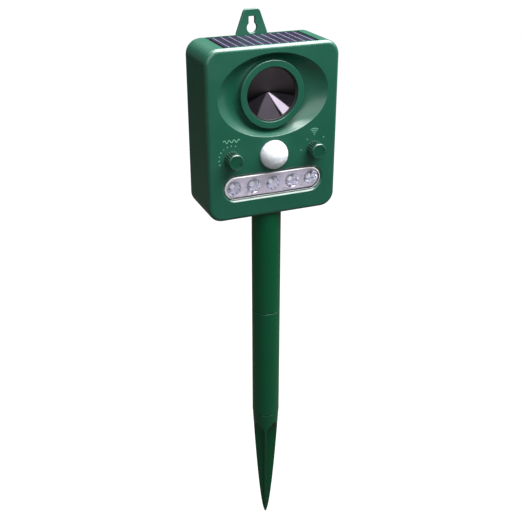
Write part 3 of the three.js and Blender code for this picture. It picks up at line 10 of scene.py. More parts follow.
import bmesh
import bpy
import numpy as np
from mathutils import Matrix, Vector


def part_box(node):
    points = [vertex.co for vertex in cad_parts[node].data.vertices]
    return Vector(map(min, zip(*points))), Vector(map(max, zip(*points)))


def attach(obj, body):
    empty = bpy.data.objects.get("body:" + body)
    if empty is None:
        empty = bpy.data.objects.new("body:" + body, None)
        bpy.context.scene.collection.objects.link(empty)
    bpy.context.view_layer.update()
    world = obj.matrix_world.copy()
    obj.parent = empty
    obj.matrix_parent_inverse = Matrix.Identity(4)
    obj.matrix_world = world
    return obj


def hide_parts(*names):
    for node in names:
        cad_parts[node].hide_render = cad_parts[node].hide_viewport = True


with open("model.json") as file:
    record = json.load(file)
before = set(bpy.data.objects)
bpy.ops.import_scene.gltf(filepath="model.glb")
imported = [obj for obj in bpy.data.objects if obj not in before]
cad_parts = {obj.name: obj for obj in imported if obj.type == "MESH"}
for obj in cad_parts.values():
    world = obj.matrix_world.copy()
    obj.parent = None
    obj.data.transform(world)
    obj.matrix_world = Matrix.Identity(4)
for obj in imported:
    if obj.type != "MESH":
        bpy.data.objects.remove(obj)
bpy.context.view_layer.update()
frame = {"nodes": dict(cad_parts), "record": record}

bl_info = {
    "name": "Garden Pest Repeller",
    "version": (1, 0, 0),
    "blender": (4, 5, 0),
    "location": "3D View > Sidebar > Repeller",
    "description": "Builds the visible pieces of a solar garden pest repeller and its studio",
    "category": "Object",
}

MM = 1000.0


def box_of(node):
    """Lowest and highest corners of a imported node, in millimetres."""
    low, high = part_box(node)
    return np.array(low) * MM, np.array(high) * MM


HOUSING_LOW, HOUSING_HIGH = box_of("front_housing")
HEAD_AT = np.array((0.0, HOUSING_LOW[1], HOUSING_LOW[2]))
STAKE_AT = np.zeros(3)


def head_box(node):
    """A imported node's corners, counted from the middle of the head's lower front edge."""
    low, high = box_of(node)
    return low - HEAD_AT, high - HEAD_AT


def head_middle(node):
    """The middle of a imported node, counted as head_box does."""
    low, high = head_box(node)
    return (low + high) / 2


def places_of(kind, count):
    """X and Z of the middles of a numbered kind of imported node."""
    return [head_middle(f"{kind}_{i}")[[0, 2]] for i in range(1, count + 1)]


HALF_WIDTH = (HOUSING_HIGH[0] - HOUSING_LOW[0]) / 2
HEAD_HEIGHT = HOUSING_HIGH[2] - HOUSING_LOW[2]
HOUSING_REAR = HOUSING_HIGH[1] - HOUSING_LOW[1]
COVER_FRONT = HOUSING_REAR + 0.3
HEAD_DEPTH = head_box("back_cover")[1][1]
CORNER = 12.0
SOCKET_BORE = 12.8
STRIP_HALF_LENGTH, STRIP_HALF_HEIGHT = 42.25, 9.6
BOSS_RADIUS = 4.6
STAKE_Y = -HEAD_AT[1]
DISH_Z = head_middle("speaker_cone")[2]
SENSOR_Z = head_middle("sensor_lens")[2]
KNOB_X = head_middle("knob_sensitivity")[0]
KNOB_Z = head_middle("knob_sensitivity")[2]
STRIP_Z = head_middle("light_window")[2]


# ------------------------------------------------------------------ sizes and colours

def length(name, description, millimetres):
    """A length that a user may change."""
    return bpy.props.FloatProperty(
        name=name, description=description, default=millimetres / MM,
        min=0.0, unit="LENGTH", subtype="DISTANCE", precision=5,
    )


def colour(name, description, red, green, blue):
    """A colour that a user may change, given as it looks on a screen, 0 to 255."""
    share = np.array((red, green, blue)) / 255
    linear = np.where(share <= 0.04045, share / 12.92, ((share + 0.055) / 1.055) ** 2.4)
    return bpy.props.FloatVectorProperty(
        name=name, description=description, default=tuple(float(c) for c in linear),
        min=0.0, max=1.0, size=3, subtype="COLOR",
    )


class RepellerSizes(bpy.types.PropertyGroup):
    """Lengths of the visible pieces."""

    wall: length("Wall", "Thickness of the moulded shells", 2.4)
    front_fillet: length("Front rounding", "Radius round the head's front edges", 3.3)
    rear_fillet: length("Rear rounding", "Radius round the head's rear edges", 2.4)
    dish_half_width: length("Dish half width", "Half the width of the oval dish", 46.8)
    dish_half_height: length("Dish half height", "Half the height of the oval dish", 33.0)
    dish_depth: length("Dish depth", "Depth of the dish at the collar's foot", 8.0)
    collar_radius: length("Collar radius", "Outer radius of the loudspeaker's collar", 27.0)
    mouth_radius: length("Mouth radius", "Radius of the opening in the collar", 21.75)
    strip_flare: length("Strip flare", "Slope round the lamp strip at the front plane", 1.75)
    knob_radius: length("Knob radius", "Outer radius of the control knobs", 6.65)
    rib_depth: length("Rib depth", "Depth of the grooves between a knob's ribs", 1.0)
    facet_groove: length("Facet groove", "Depth of the lines between the dome's facets", 0.16)
    edge: length("Edge rounding", "Small rounding on moulded edges", 0.35)


class RepellerColours(bpy.types.PropertyGroup):
    """Colours of the visible pieces."""

    shell: colour("Shell", "Green of the moulded head", 10, 67, 51)
    stake: colour("Stake", "Darker green of the stake", 0, 62, 36)
    knob: colour("Knobs", "Green of the knobs", 5, 56, 41)
    marks: colour("Marks", "Print round the knobs", 92, 146, 124)
    cells: colour("Solar cells", "Dark violet of the cells", 8, 7, 22)
    lines: colour("Cell lines", "Pale lines across the cells", 142, 138, 170)
    funnel: colour("Funnel", "Polished dark metal", 118, 110, 122)
    lens: colour("Lens", "White of the motion dome", 198, 204, 212)
    mirror: colour("Mirror", "Metallised plate round the lamp cups", 226, 218, 232)


def size(name):
    """A length from the scene's settings, in millimetres."""
    return getattr(bpy.context.scene.repeller_sizes, name) * MM


def tint(name):
    """A colour from the scene's settings."""
    return tuple(getattr(bpy.context.scene.repeller_colours, name))


# ------------------------------------------------------------------ outlines and profiles

def rounded_corners(corners, radii, steps=6, closed=True):
    """A line through corners, each cut back by its radius and bridged by a parabola.

    At share t the bridge is (1-t)^2 times its start, 2t(1-t) times the corner and t^2 times
    its end. Ends of an open line stay as they are.
    """
    corners = np.asarray(corners, float)
    radii = np.broadcast_to(np.asarray(radii, float), len(corners)).copy()
    if not closed:
        radii[[0, -1]] = 0
    before = np.roll(corners, 1, axis=0) - corners
    after = np.roll(corners, -1, axis=0) - corners
    before /= np.maximum(np.linalg.norm(before, axis=1, keepdims=True), 1e-9)
    after /= np.maximum(np.linalg.norm(after, axis=1, keepdims=True), 1e-9)
    start = corners + before * radii[:, None]
    end = corners + after * radii[:, None]
    t = np.linspace(0, 1, steps)[None, :, None]
    start, middle, end = start[:, None], corners[:, None], end[:, None]
    line = ((1 - t) ** 2 * start + 2 * t * (1 - t) * middle + t ** 2 * end).reshape(-1, 2)
    step = np.linalg.norm(np.diff(line, axis=0), axis=1)
    return line[np.concatenate([[True], step > 1e-6])]


def oblong(half_width, low, high, radius, steps=8, middle_x=0.0):
    """An upright rectangle with circular corners, anticlockwise from its right lower corner."""
    turn = np.linspace(0, np.pi / 2, steps)
    quarter = np.arange(4)[:, None] * np.pi / 2 - np.pi / 2
    angle = quarter + turn
    side = np.array([1, 1, -1, -1])[:, None] * (half_width - radius)
    level = np.array([low + radius, high - radius, high - radius, low + radius])[:, None]
    x = middle_x + side + radius * np.cos(angle)
    z = level + radius * np.sin(angle)
    return np.stack([x, z], axis=-1).reshape(-1, 2)


def stadium(half_length, half_height, middle_z, steps=20):
    """A bar with half-round ends, as an oblong whose radius is its half height."""
    low, high = middle_z - half_height, middle_z + half_height
    return oblong(half_length, low, high, half_height - 0.001, steps)


def circle(radius, middle_z, count):
    """Points evenly round a circle."""
    angle = np.arange(count) / count * 2 * np.pi
    return np.stack([radius * np.cos(angle), middle_z + radius * np.sin(angle)], axis=-1)


def drawn_in(outline, distance):
    """An anticlockwise outline moved inwards along its normals, or outwards if negative."""
    along = np.roll(outline, -1, axis=0) - np.roll(outline, 1, axis=0)
    along /= np.maximum(np.linalg.norm(along, axis=1, keepdims=True), 1e-9)
    inward = np.stack([-along[:, 1], along[:, 0]], axis=-1)
    return outline + inward * distance


def reach(outline, middle_z, angles):
    """How far a closed outline lies from (0, middle_z) along each angle."""
    away = outline - np.array((0.0, middle_z))
    x, z = away.T
    return np.interp(angles, np.arctan2(z, x), np.hypot(x, z), period=2 * np.pi)


def dense(outline, spacing=0.1):
    """The same closed outline with points every spacing along it."""
    ring = np.vstack([outline, outline[:1]])
    run = np.concatenate([[0], np.cumsum(np.linalg.norm(np.diff(ring, axis=0), axis=1))])
    at = np.unique(np.concatenate([run[:-1], np.arange(0, run[-1], spacing)]))
    return np.stack([np.interp(at, run, ring[:, 0]), np.interp(at, run, ring[:, 1])], axis=-1)


# ------------------------------------------------------------------ meshes

UPRIGHT_COLUMNS = 128


def ring_faces(rows, columns, joined):
    """Four-sided faces between neighbouring rings of a grid, as whole arrays of indices."""
    row = np.arange(rows if joined else rows - 1)[:, None]
    column = np.arange(columns)[None, :]
    next_row, next_column = (row + 1) % rows, (column + 1) % columns
    corners = [
        row * columns + column, row * columns + next_column,
        next_row * columns + next_column, next_row * columns + column,
    ]
    return np.stack(corners, axis=-1).reshape(-1, 4)


def shown(name, data):
    """A new object with its data, in the scene."""
    obj = bpy.data.objects.new(name, data)
    bpy.context.scene.collection.objects.link(obj)
    return obj


def solid(name, rings, joined=False, at=HEAD_AT):
    """A closed object from rings of points: the surface runs from ring to ring.

    With joined, the last ring runs on into the first. Otherwise each end is closed by a fan
    about its middle. Doubled points are merged and all faces are turned outwards.
    """
    rings = np.asarray(rings, float)
    rows, columns = rings.shape[:2]
    points = rings.reshape(-1, 3)
    faces = ring_faces(rows, columns, joined).tolist()
    if not joined:
        middles = rings[[0, -1]].mean(axis=1)
        column = np.arange(columns)
        following = (column + 1) % columns
        for k, first in enumerate((0, (rows - 1) * columns)):
            middle = np.full(columns, len(points) + k)
            faces += np.stack([middle, first + following, first + column], axis=-1).tolist()
        points = np.vstack([points, middles])
    mesh = bpy.data.meshes.new(name)
    mesh.from_pydata(((points + at) / MM).tolist(), [], faces)
    work = bmesh.new()
    work.from_mesh(mesh)
    bmesh.ops.remove_doubles(work, verts=work.verts, dist=2e-6)
    bmesh.ops.dissolve_degenerate(work, edges=work.edges, dist=1e-7)
    bmesh.ops.recalc_face_normals(work, faces=work.faces)
    work.to_mesh(mesh)
    work.free()
    return shown(name, mesh)


def placed(flat, depth):
    """Points of a flat outline (X, Z) put at a depth Y."""
    flat = np.asarray(flat, float)
    return np.stack([flat[:, 0], np.broadcast_to(depth, len(flat)), flat[:, 1]], axis=-1)


def level_ring(flat, height):
    """Points of a flat outline (X, Y) put at a height Z."""
    return np.stack([flat[:, 0], flat[:, 1], np.full(len(flat), height)], axis=-1)


def stacked(name, outline, levels):
    """A solid whose section is an outline drawn in by each level's inset at that level's depth."""
    return solid(name, [placed(drawn_in(outline, inset), depth) for inset, depth in levels])


def soft_levels(front, rear, edge, rear_edge=None, steps=4):
    """Levels of a slab with quarter-round edges: the inset is e(1-sin t), the depth e(1-cos t)."""
    rear_edge = edge if rear_edge is None else rear_edge
    turn = np.linspace(0, np.pi / 2, steps)
    levels = [(edge * (1 - math.sin(t)), front + edge * (1 - math.cos(t))) for t in turn]
    return levels + [(rear_edge * (1 - math.sin(t)), rear - rear_edge * (1 - math.cos(t)))
                     for t in turn[::-1]]


def spun(name, profile, middle_x=0.0, middle_z=0.0, count=96, joined=False):
    """A profile of (radius, depth) turned about an axis that runs straight back."""
    radius, depth = np.asarray(profile, float).T
    angle = np.arange(count) / count * 2 * np.pi
    x = middle_x + radius[:, None] * np.cos(angle)
    z = middle_z + radius[:, None] * np.sin(angle)
    y = np.broadcast_to(depth[:, None], x.shape)
    return solid(name, np.stack([x, y, z], axis=-1), joined=joined)


def peg(name, radius, front, rear, x, z, count):
    """A plain round bar between two depths."""
    return spun(name, [(0, front), (radius, front), (radius, rear), (0, rear)], x, z, count)


def upright(name, profile, middle_y=0.0, joined=False, at=STAKE_AT):
    """A profile of (radius, height) turned about an upright axis."""
    radius, height = np.asarray(profile, float).T
    angle = np.arange(UPRIGHT_COLUMNS) / UPRIGHT_COLUMNS * 2 * np.pi
    x = radius[:, None] * np.cos(angle)
    y = middle_y + radius[:, None] * np.sin(angle)
    z = np.broadcast_to(height[:, None], x.shape)
    return solid(name, np.stack([x, y, z], axis=-1), joined=joined, at=at)


def brick(name, x0, x1, y0, y1, z0, z1):
    """A plain block between two corners."""
    outline = oblong((x1 - x0) / 2, z0, z1, 0.01, 3, (x0 + x1) / 2)
    return stacked(name, outline, [(0, y0), (0, y1)])


def remove(obj):
    """Takes a helper object and its mesh away."""
    mesh = obj.data
    bpy.data.objects.remove(obj)
    bpy.data.meshes.remove(mesh)


def shaped(obj, added=(), removed=(), within=()):
    """Joins solids to an object, cuts others from it and keeps what lies within the last."""
    steps = [(part, "UNION") for part in added] + [(part, "DIFFERENCE") for part in removed]
    steps += [(part, "INTERSECT") for part in within]
    for part, operation in steps:
        change = obj.modifiers.new("shape", "BOOLEAN")
        change.object = part
        change.operation = operation
        change.solver = "MANIFOLD"
    graph = bpy.context.evaluated_depsgraph_get()
    result = bpy.data.meshes.new_from_object(obj.evaluated_get(graph))
    if not result.polygons:
        raise RuntimeError(f"cutting {obj.name} left nothing")
    old = obj.data
    obj.modifiers.clear()
    obj.data = result
    bpy.data.meshes.remove(old)
    result.name = obj.name
    for part, _ in steps:
        remove(part)
    return obj


def joined_objects(name, parts):
    """Several closed meshes as one object."""
    work = bmesh.new()
    for part in parts:
        work.from_mesh(part.data)
        remove(part)
    mesh = bpy.data.meshes.new(name)
    work.to_mesh(mesh)
    work.free()
    return shown(name, mesh)


def dressed(obj, body, material, stands_for=(), crease=32.0):
    """Gives a finished piece its shading, material, body, slot and the nodes it stands for."""
    work = bmesh.new()
    work.from_mesh(obj.data)
    bmesh.ops.remove_doubles(work, verts=work.verts, dist=1e-6)
    limit = math.radians(crease)
    for edge in work.edges:
        edge.smooth = edge.calc_face_angle(math.pi) < limit
    for face in work.faces:
        face.smooth = True
    work.to_mesh(obj.data)
    work.free()
    even = obj.modifiers.new("even shading", "WEIGHTED_NORMAL")
    even.keep_sharp = True
    even.weight = 60
    obj.data.materials.clear()
    obj.data.materials.append(material)
    if stands_for:
        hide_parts(*stands_for)
    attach(obj, body)
    return obj


def face_centres(obj):
    """The X, Y and Z of a piece's face centres, in millimetres from the head's place."""
    flat = np.empty(len(obj.data.polygons) * 3)
    obj.data.polygons.foreach_get("center", flat)
    return (flat.reshape(-1, 3) * MM - HEAD_AT).T


def second_finish(obj, material, chosen):
    """Gives the chosen faces of a piece a second material."""
    obj.data.materials.append(material)
    obj.data.polygons.foreach_set("material_index", chosen.astype(np.int32))


# ------------------------------------------------------------------ shared shader effects

def new_group(name, inputs, outputs):
    """A shader node group with named number inputs (name, default) and number outputs."""
    tree = bpy.data.node_groups.new(name, "ShaderNodeTree")
    for label, value in inputs:
        socket = tree.interface.new_socket(label, in_out="INPUT", socket_type="NodeSocketFloat")
        socket.default_value = value
    for label in outputs:
        tree.interface.new_socket(label, in_out="OUTPUT", socket_type="NodeSocketFloat")
    return tree, tree.nodes.new("NodeGroupInput"), tree.nodes.new("NodeGroupOutput")


def moulded_grain_group():
    """Fine moulding grain and broad mottling of a plastic, from noise on Object coordinates."""
    if "moulded grain" in bpy.data.node_groups:
        return bpy.data.node_groups["moulded grain"]
    tree, given, result = new_group(
        "moulded grain", [("Grain Scale", 1500.0), ("Mottle Scale", 45.0)], ["Grain", "Mottle"],
    )
    where = tree.nodes.new("ShaderNodeTexCoord")
    for label, detail in (("Grain", 3.0), ("Mottle", 2.0)):
        noise = tree.nodes.new("ShaderNodeTexNoise")
        noise.inputs["Detail"].default_value = detail
        tree.links.new(where.outputs["Object"], noise.inputs["Vector"])
        tree.links.new(given.outputs[f"{label} Scale"], noise.inputs["Scale"])
        tree.links.new(noise.outputs["Fac"], result.inputs[label])
    return tree


def settled_dust_group():
    """A mask of dust on faces that look up: their upward share to a power, broken by noise."""
    if "settled dust" in bpy.data.node_groups:
        return bpy.data.node_groups["settled dust"]
    tree, given, result = new_group(
        "settled dust", [("Amount", 0.15), ("Scale", 160.0), ("Power", 3.0)], ["Mask"],
    )
    where = tree.nodes.new("ShaderNodeTexCoord")
    noise = tree.nodes.new("ShaderNodeTexNoise")
    noise.inputs["Detail"].default_value = 4.0
    tree.links.new(where.outputs["Object"], noise.inputs["Vector"])
    tree.links.new(given.outputs["Scale"], noise.inputs["Scale"])
    facing = tree.nodes.new("ShaderNodeNewGeometry")
    split = tree.nodes.new("ShaderNodeSeparateXYZ")
    tree.links.new(facing.outputs["Normal"], split.inputs["Vector"])
    upward = reckoned(tree, "MAXIMUM", split.outputs["Z"], 0.0)
    upward = reckoned(tree, "POWER", upward, given.outputs["Power"])
    broken = reckoned(tree, "MULTIPLY", upward, noise.outputs["Fac"])
    amount = reckoned(tree, "MULTIPLY", broken, given.outputs["Amount"])
    amount.node.use_clamp = True
    tree.links.new(amount, result.inputs["Mask"])
    return tree


def fed(tree, socket, value):
    """Links a socket to what another puts out, or sets its number or colour."""
    if isinstance(value, bpy.types.NodeSocket):
        tree.links.new(value, socket)
    else:
        socket.default_value = (*value, 1.0) if isinstance(value, tuple) else value


def placed_group(tree, group, **values):
    """A shader node group placed in a material with its own values."""
    node = tree.nodes.new("ShaderNodeGroup")
    node.node_tree = group
    for label, value in values.items():
        node.inputs[label.replace("_", " ")].default_value = value
    return node


def blended(tree, share, first, second):
    """A colour mix. first and second are colours or sockets, share is a number or a socket."""
    node = tree.nodes.new("ShaderNodeMix")
    node.data_type = "RGBA"
    for place, value in ((0, share), (6, first), (7, second)):
        fed(tree, node.inputs[place], value)
    return node.outputs[2]


def ranged(tree, value, low, high):
    """The noise's usual range, 0.3 to 0.7, moved to another range."""
    node = tree.nodes.new("ShaderNodeMapRange")
    for label, given in (("From Min", 0.3), ("From Max", 0.7), ("To Min", low), ("To Max", high),
                         ("Value", value)):
        fed(tree, node.inputs[label], given)
    return node.outputs["Result"]


def reckoned(tree, operation, first, second=0.0):
    """One arithmetic step on two numbers or sockets."""
    node = tree.nodes.new("ShaderNodeMath")
    node.operation = operation
    for socket, value in zip(node.inputs, (first, second)):
        fed(tree, socket, value)
    return node.outputs[0]


def shade(base, factor):
    """A colour made lighter or darker."""
    return tuple(min(1.0, c * factor) for c in base)


def new_material(name):
    """A new material, its node tree and its shader."""
    material = bpy.data.materials.new(name)
    material.use_nodes = True
    return material, material.node_tree, material.node_tree.nodes["Principled BSDF"]


DUST = (0.62, 0.64, 0.6)
ROUGHNESS_SPREAD = 0.04
LOWEST_ROUGHNESS = 0.02


def surface_material(
    name, base, roughness, metallic=0.0, grain=0.02, grain_scale=1500.0, mottle=0.06, dust=0.1,
    coat=0.0, coat_roughness=0.1, specular=0.5, colour_of=None,
):
    """A material with grain, mottling and dust. colour_of may draw a pattern over the base."""
    material, tree, shader = new_material(name)
    texture = placed_group(tree, moulded_grain_group(), Grain_Scale=grain_scale)
    share = ranged(tree, texture.outputs["Mottle"], 0.0, 1.0)
    hue = blended(tree, share, shade(base, 1 - mottle), shade(base, 1 + mottle))
    if colour_of:
        hue = colour_of(tree, hue)
    if dust:
        film = placed_group(tree, settled_dust_group(), Amount=dust)
        hue = blended(tree, film.outputs["Mask"], hue, DUST)
    tree.links.new(hue, shader.inputs["Base Color"])
    smoothest = max(LOWEST_ROUGHNESS, roughness - ROUGHNESS_SPREAD)
    rough = ranged(tree, texture.outputs["Mottle"], smoothest, roughness + ROUGHNESS_SPREAD)
    tree.links.new(rough, shader.inputs["Roughness"])
    shader.inputs["Metallic"].default_value = metallic
    shader.inputs["Coat Weight"].default_value = coat
    shader.inputs["Coat Roughness"].default_value = coat_roughness
    shader.inputs["Specular IOR Level"].default_value = specular
    shader.inputs["IOR"].default_value = 1.5
    if grain:
        bump = tree.nodes.new("ShaderNodeBump")
        bump.inputs["Strength"].default_value = 0.6
        bump.inputs["Distance"].default_value = grain / MM
        tree.links.new(texture.outputs["Grain"], bump.inputs["Height"])
        tree.links.new(bump.outputs["Normal"], shader.inputs["Normal"])
    return material


def band_mask(tree, axis, pitch, width, offset=0.0):
    """1 on thin bands across an axis of the Object coordinates, 0 between them."""
    where = tree.nodes.new("ShaderNodeTexCoord")
    split = tree.nodes.new("ShaderNodeSeparateXYZ")
    tree.links.new(where.outputs["Object"], split.inputs["Vector"])
    counted = reckoned(tree, "MULTIPLY_ADD", split.outputs[axis], MM / pitch)
    counted.node.inputs[2].default_value = 100.5 + offset / pitch
    share = reckoned(tree, "FRACT", counted)
    away = reckoned(tree, "ABSOLUTE", reckoned(tree, "SUBTRACT", share, 0.5))
    return reckoned(tree, "LESS_THAN", away, width / pitch / 2)


# ------------------------------------------------------------------ the object's finishes

def cell_lines(tree, hue):
    """Pale bars from front to back with faint lines between them and fingers across."""
    lines = 0.0
    for axis, pitch, width, strength in (("Y", 1.9, 0.16, 0.1), ("X", 2.3, 0.2, 0.14),
                                         ("X", 6.9, 0.8, 0.42)):
        band = reckoned(tree, "MULTIPLY", band_mask(tree, axis, pitch, width), strength)
        lines = reckoned(tree, "MAXIMUM", lines, band)
    return blended(tree, lines, hue, tint("lines"))


def board_tracks(tree, hue):
    """Fine copper tracks under the solder mask, showing as lighter bands."""
    across, upward = band_mask(tree, "X", 5.2, 0.5), band_mask(tree, "Z", 7.4, 0.5)
    lines = reckoned(tree, "MAXIMUM", across, upward)
    return blended(tree, reckoned(tree, "MULTIPLY", lines, 0.5), hue, (0.05, 0.2, 0.07))


def sleeve_band(tree, hue):
    """A pale band at one end of a battery cell's sleeve."""
    return blended(tree, band_mask(tree, "X", 46.0, 6.0, offset=20.0), hue, (0.6, 0.58, 0.5))


# Each finish: a colour or the name of a colour setting, its roughness, and its other values.
SURFACES = {
    # Moulded green plastic of the head, satin with a fine grain.
    "shell green": ("shell", 0.4, dict(grain=0.006, mottle=0.04, dust=0.0, coat=0.42,
                                       coat_roughness=0.2)),
    # Darker, shinier green plastic of the stake.
    "stake green": ("stake", 0.3, dict(grain=0.003, mottle=0.03, dust=0.0, coat=0.2,
                                       coat_roughness=0.14, specular=0.3)),
    "knob green": ("knob", 0.3, dict(grain=0.005, mottle=0.04, dust=0.02, coat=0.4,
                                     coat_roughness=0.14)),
    "print pale": ("marks", 0.5, dict(grain=0.01, mottle=0.08, dust=0.0)),
    "rubber black": ((0.008, 0.008, 0.009), 0.62, dict(grain=0.03, dust=0.05)),
    "plastic black": ((0.012, 0.012, 0.014), 0.42, dict(grain=0.02, dust=0.05)),
    # Glossy black border of the solar panel.
    "backing black": ((0.012, 0.012, 0.02), 0.2, dict(grain=0.004, dust=0.04, coat=0.6,
                                                      coat_roughness=0.06)),
    # Solar cells under a clear film.
    "cell violet": ("cells", 0.3, dict(grain=0.003, mottle=0.12, dust=0.0, coat=0.08,
                                       coat_roughness=0.08, specular=0.25, colour_of=cell_lines)),
    # Polished dark metal film.
    "funnel metal": ("funnel", 0.09, dict(metallic=1.0, grain=0.002, grain_scale=500.0,
                                          mottle=0.12, dust=0.0)),
    # Milky white of the motion dome.
    "lens white": ("lens", 0.3, dict(grain=0.004, mottle=0.012, dust=0.0)),
    # Milky clear epoxy of the lamps.
    "lamp epoxy": ((0.86, 0.87, 0.93), 0.14, dict(grain=0.003, mottle=0.05, dust=0.0, coat=1.0,
                                                  coat_roughness=0.04)),
    # Metallised plate round the lamp cups, and the brighter metallising inside them.
    "mirror plastic": ("mirror", 0.3, dict(metallic=0.2, grain=0.006, grain_scale=500.0,
                                           mottle=0.05, dust=0.0)),
    "cup mirror": ((0.9, 0.89, 0.96), 0.18, dict(metallic=1.0, grain=0.004, grain_scale=500.0,
                                                 mottle=0.05, dust=0.0)),
    # Pale opaque finish on the clear window's front bevel: a painted highlight for the light its
    # clear edge catches.
    "frosted edge": ((0.86, 0.86, 0.88), 0.35, dict(grain=0.003, mottle=0.03, dust=0.0)),
    "plated steel": ((0.45, 0.46, 0.47), 0.3, dict(metallic=1.0, grain=0.008, grain_scale=900.0,
                                                   mottle=0.1, dust=0.04)),
    "disc brass": ((0.6, 0.42, 0.16), 0.28, dict(metallic=1.0, grain=0.006, mottle=0.12)),
    "board green": ((0.018, 0.09, 0.03), 0.35, dict(grain=0.004, colour_of=board_tracks)),
    "cell sleeve": ((0.04, 0.16, 0.07), 0.3, dict(grain=0.003, colour_of=sleeve_band)),
    # Soft sleeve of the internal leads.
    "lead red": ((0.26, 0.012, 0.012), 0.5, dict(grain=0.01)),
}


def clear_plastic():
    """Clear moulded plastic with a slight haze."""
    material, tree, shader = new_material("clear plastic")
    texture = placed_group(tree, moulded_grain_group(), Grain_Scale=900.0)
    haze = ranged(tree, texture.outputs["Mottle"], 0.04, 0.09)
    tree.links.new(haze, shader.inputs["Roughness"])
    shader.inputs["Base Color"].default_value = (0.95, 0.95, 0.98, 1.0)
    shader.inputs["Transmission Weight"].default_value = 1.0
    shader.inputs["IOR"].default_value = 1.3
    return material


def finish(name):
    """One of the object's materials, made when it is first asked for."""
    if name in bpy.data.materials:
        return bpy.data.materials[name]
    if name == "clear plastic":
        return clear_plastic()
    # Darker copy of the knob green for the faces between a knob's ribs: painted shade in the
    # grooves.
    if name == "groove green":
        dark = shade(tint("knob"), 0.25)
        return surface_material(name, dark, 0.6, grain=0.005, mottle=0.04, dust=0.0)
    base, roughness, values = SURFACES[name]
    hue = tint(base) if isinstance(base, str) else base
    material = surface_material(name, hue, roughness, **values)
    if name == "lens white":
        shader = material.node_tree.nodes["Principled BSDF"]
        shader.inputs["Subsurface Weight"].default_value = 0.8
        shader.inputs["Subsurface Radius"].default_value = (0.003, 0.003, 0.003)
        shader.inputs["Subsurface Scale"].default_value = 2.0
    return material


SLOT_FINISHES = {
    "green_shell": "shell green", "green_stake": "stake green", "green_knob": "knob green",
    "black_rubber": "rubber black", "black_plastic": "plastic black",
    "panel_board": "backing black", "panel_cells": "cell violet",
    "speaker_metal": "funnel metal", "piezo_brass": "disc brass", "lens_white": "lens white",
    "clear_plastic": "clear plastic", "mirror_plastic": "mirror plastic",
    "steel_parts": "plated steel", "circuit_board": "board green", "cell_wrap": "cell sleeve",
    "wire_sleeve": "lead red",
}


# ------------------------------------------------------------------ front shell

def shell_angles():
    """Angles about the dish's middle: an even fan and those of the head's rounded corners."""
    corners = oblong(HALF_WIDTH, 0, HEAD_HEIGHT, CORNER, 10) - np.array((0.0, DISH_Z))
    even = np.linspace(-np.pi, np.pi, 220, endpoint=False)
    found = np.sort(np.concatenate([even, np.arctan2(corners[:, 1], corners[:, 0])]))
    return found[np.concatenate([[True], np.diff(found) > 0.004])]


def shell_rings(angles):
    """Rings of the hollow front shell, each a distance from the dish's middle for every angle.

    The run goes from the back of the collar through its mouth, over its face and down its
    outside, up the oval dish (a blend from circle to oval whose depth is the dish's depth
    times the sine of a quarter turn), over the front face and its rounding, along the sides,
    and back along the inside walls.
    """
    wall, fillet, edge = size("wall"), size("front_fillet"), size("edge")
    collar, mouth, depth = size("collar_radius"), size("mouth_radius"), size("dish_depth")
    half = np.array((size("dish_half_width"), size("dish_half_height")))
    collar_face, ledge, collar_rear = 2.4, 4.6, 17.4
    face_edge, roof, rim_share = 0.7, 4.6, 0.015

    def flat(distance, y):
        distance = np.broadcast_to(distance, angles.shape)
        x, z = distance * np.cos(angles), DISH_Z + distance * np.sin(angles)
        return placed(np.stack([x, z], axis=-1), y)

    def oval(share, extra=0.0):
        a, b = half * (1 - share) + collar * share + extra
        return 1 / np.sqrt((np.cos(angles) / a) ** 2 + (np.sin(angles) / b) ** 2)

    def outer(inset):
        shape = oblong(HALF_WIDTH - inset, inset, HEAD_HEIGHT - inset, CORNER - inset, 40)
        return reach(dense(shape), DISH_Z, angles)

    inner_shape = oblong(HALF_WIDTH - wall, wall, HEAD_HEIGHT - roof, CORNER - wall, 40)
    inner = reach(dense(inner_shape), DISH_Z, angles)
    quarter = np.linspace(0, np.pi / 2, 6)
    rings = [flat(collar - wall, collar_rear), flat(collar - wall, ledge), flat(mouth, ledge)]
    rings += [flat(mouth + edge * (1 - math.cos(t)), collar_face + edge * (1 - math.sin(t)))
              for t in quarter]
    rings += [flat(collar - face_edge * (1 - math.sin(t)),
                   collar_face + face_edge * (1 - math.cos(t))) for t in quarter]
    rings += [flat(collar, depth - 0.5), flat(collar + 0.15, depth - 0.15)]
    for share in np.linspace(0.96, rim_share, 26):
        rings.append(flat(oval(share), depth * math.sin(share * math.pi / 2)))
    low_point = depth * math.sin(rim_share * math.pi / 2)
    for t in np.linspace(0.25, 1, 4):
        at = ((1 - t) ** 2 * oval(rim_share) + 2 * t * (1 - t) * oval(0.0)
              + t ** 2 * (oval(0.0) + 0.18))
        rings.append(flat(at, (1 - t) ** 2 * low_point))
    rings.append(flat(np.minimum(oval(0.0) + 0.8, outer(fillet + 0.3)), 0.0))
    for t in np.linspace(0, np.pi / 2, 10):
        rings.append(flat(outer(fillet * (1 - math.sin(t))), fillet * (1 - math.cos(t))))
    for t in quarter[::-1]:
        rings.append(flat(outer(edge * (1 - math.sin(t))), HOUSING_REAR - edge * (1 - math.cos(t))))
    rings += [flat(inner, HOUSING_REAR), flat(inner, wall)]
    for share in np.linspace(0, 0.999, 10):
        back = np.minimum(oval(share, wall), inner)
        rings.append(flat(back, depth * math.sin(share * math.pi / 2) + wall))
    rings += [flat(collar, depth + wall + 0.2), flat(collar, collar_rear)]
    return rings


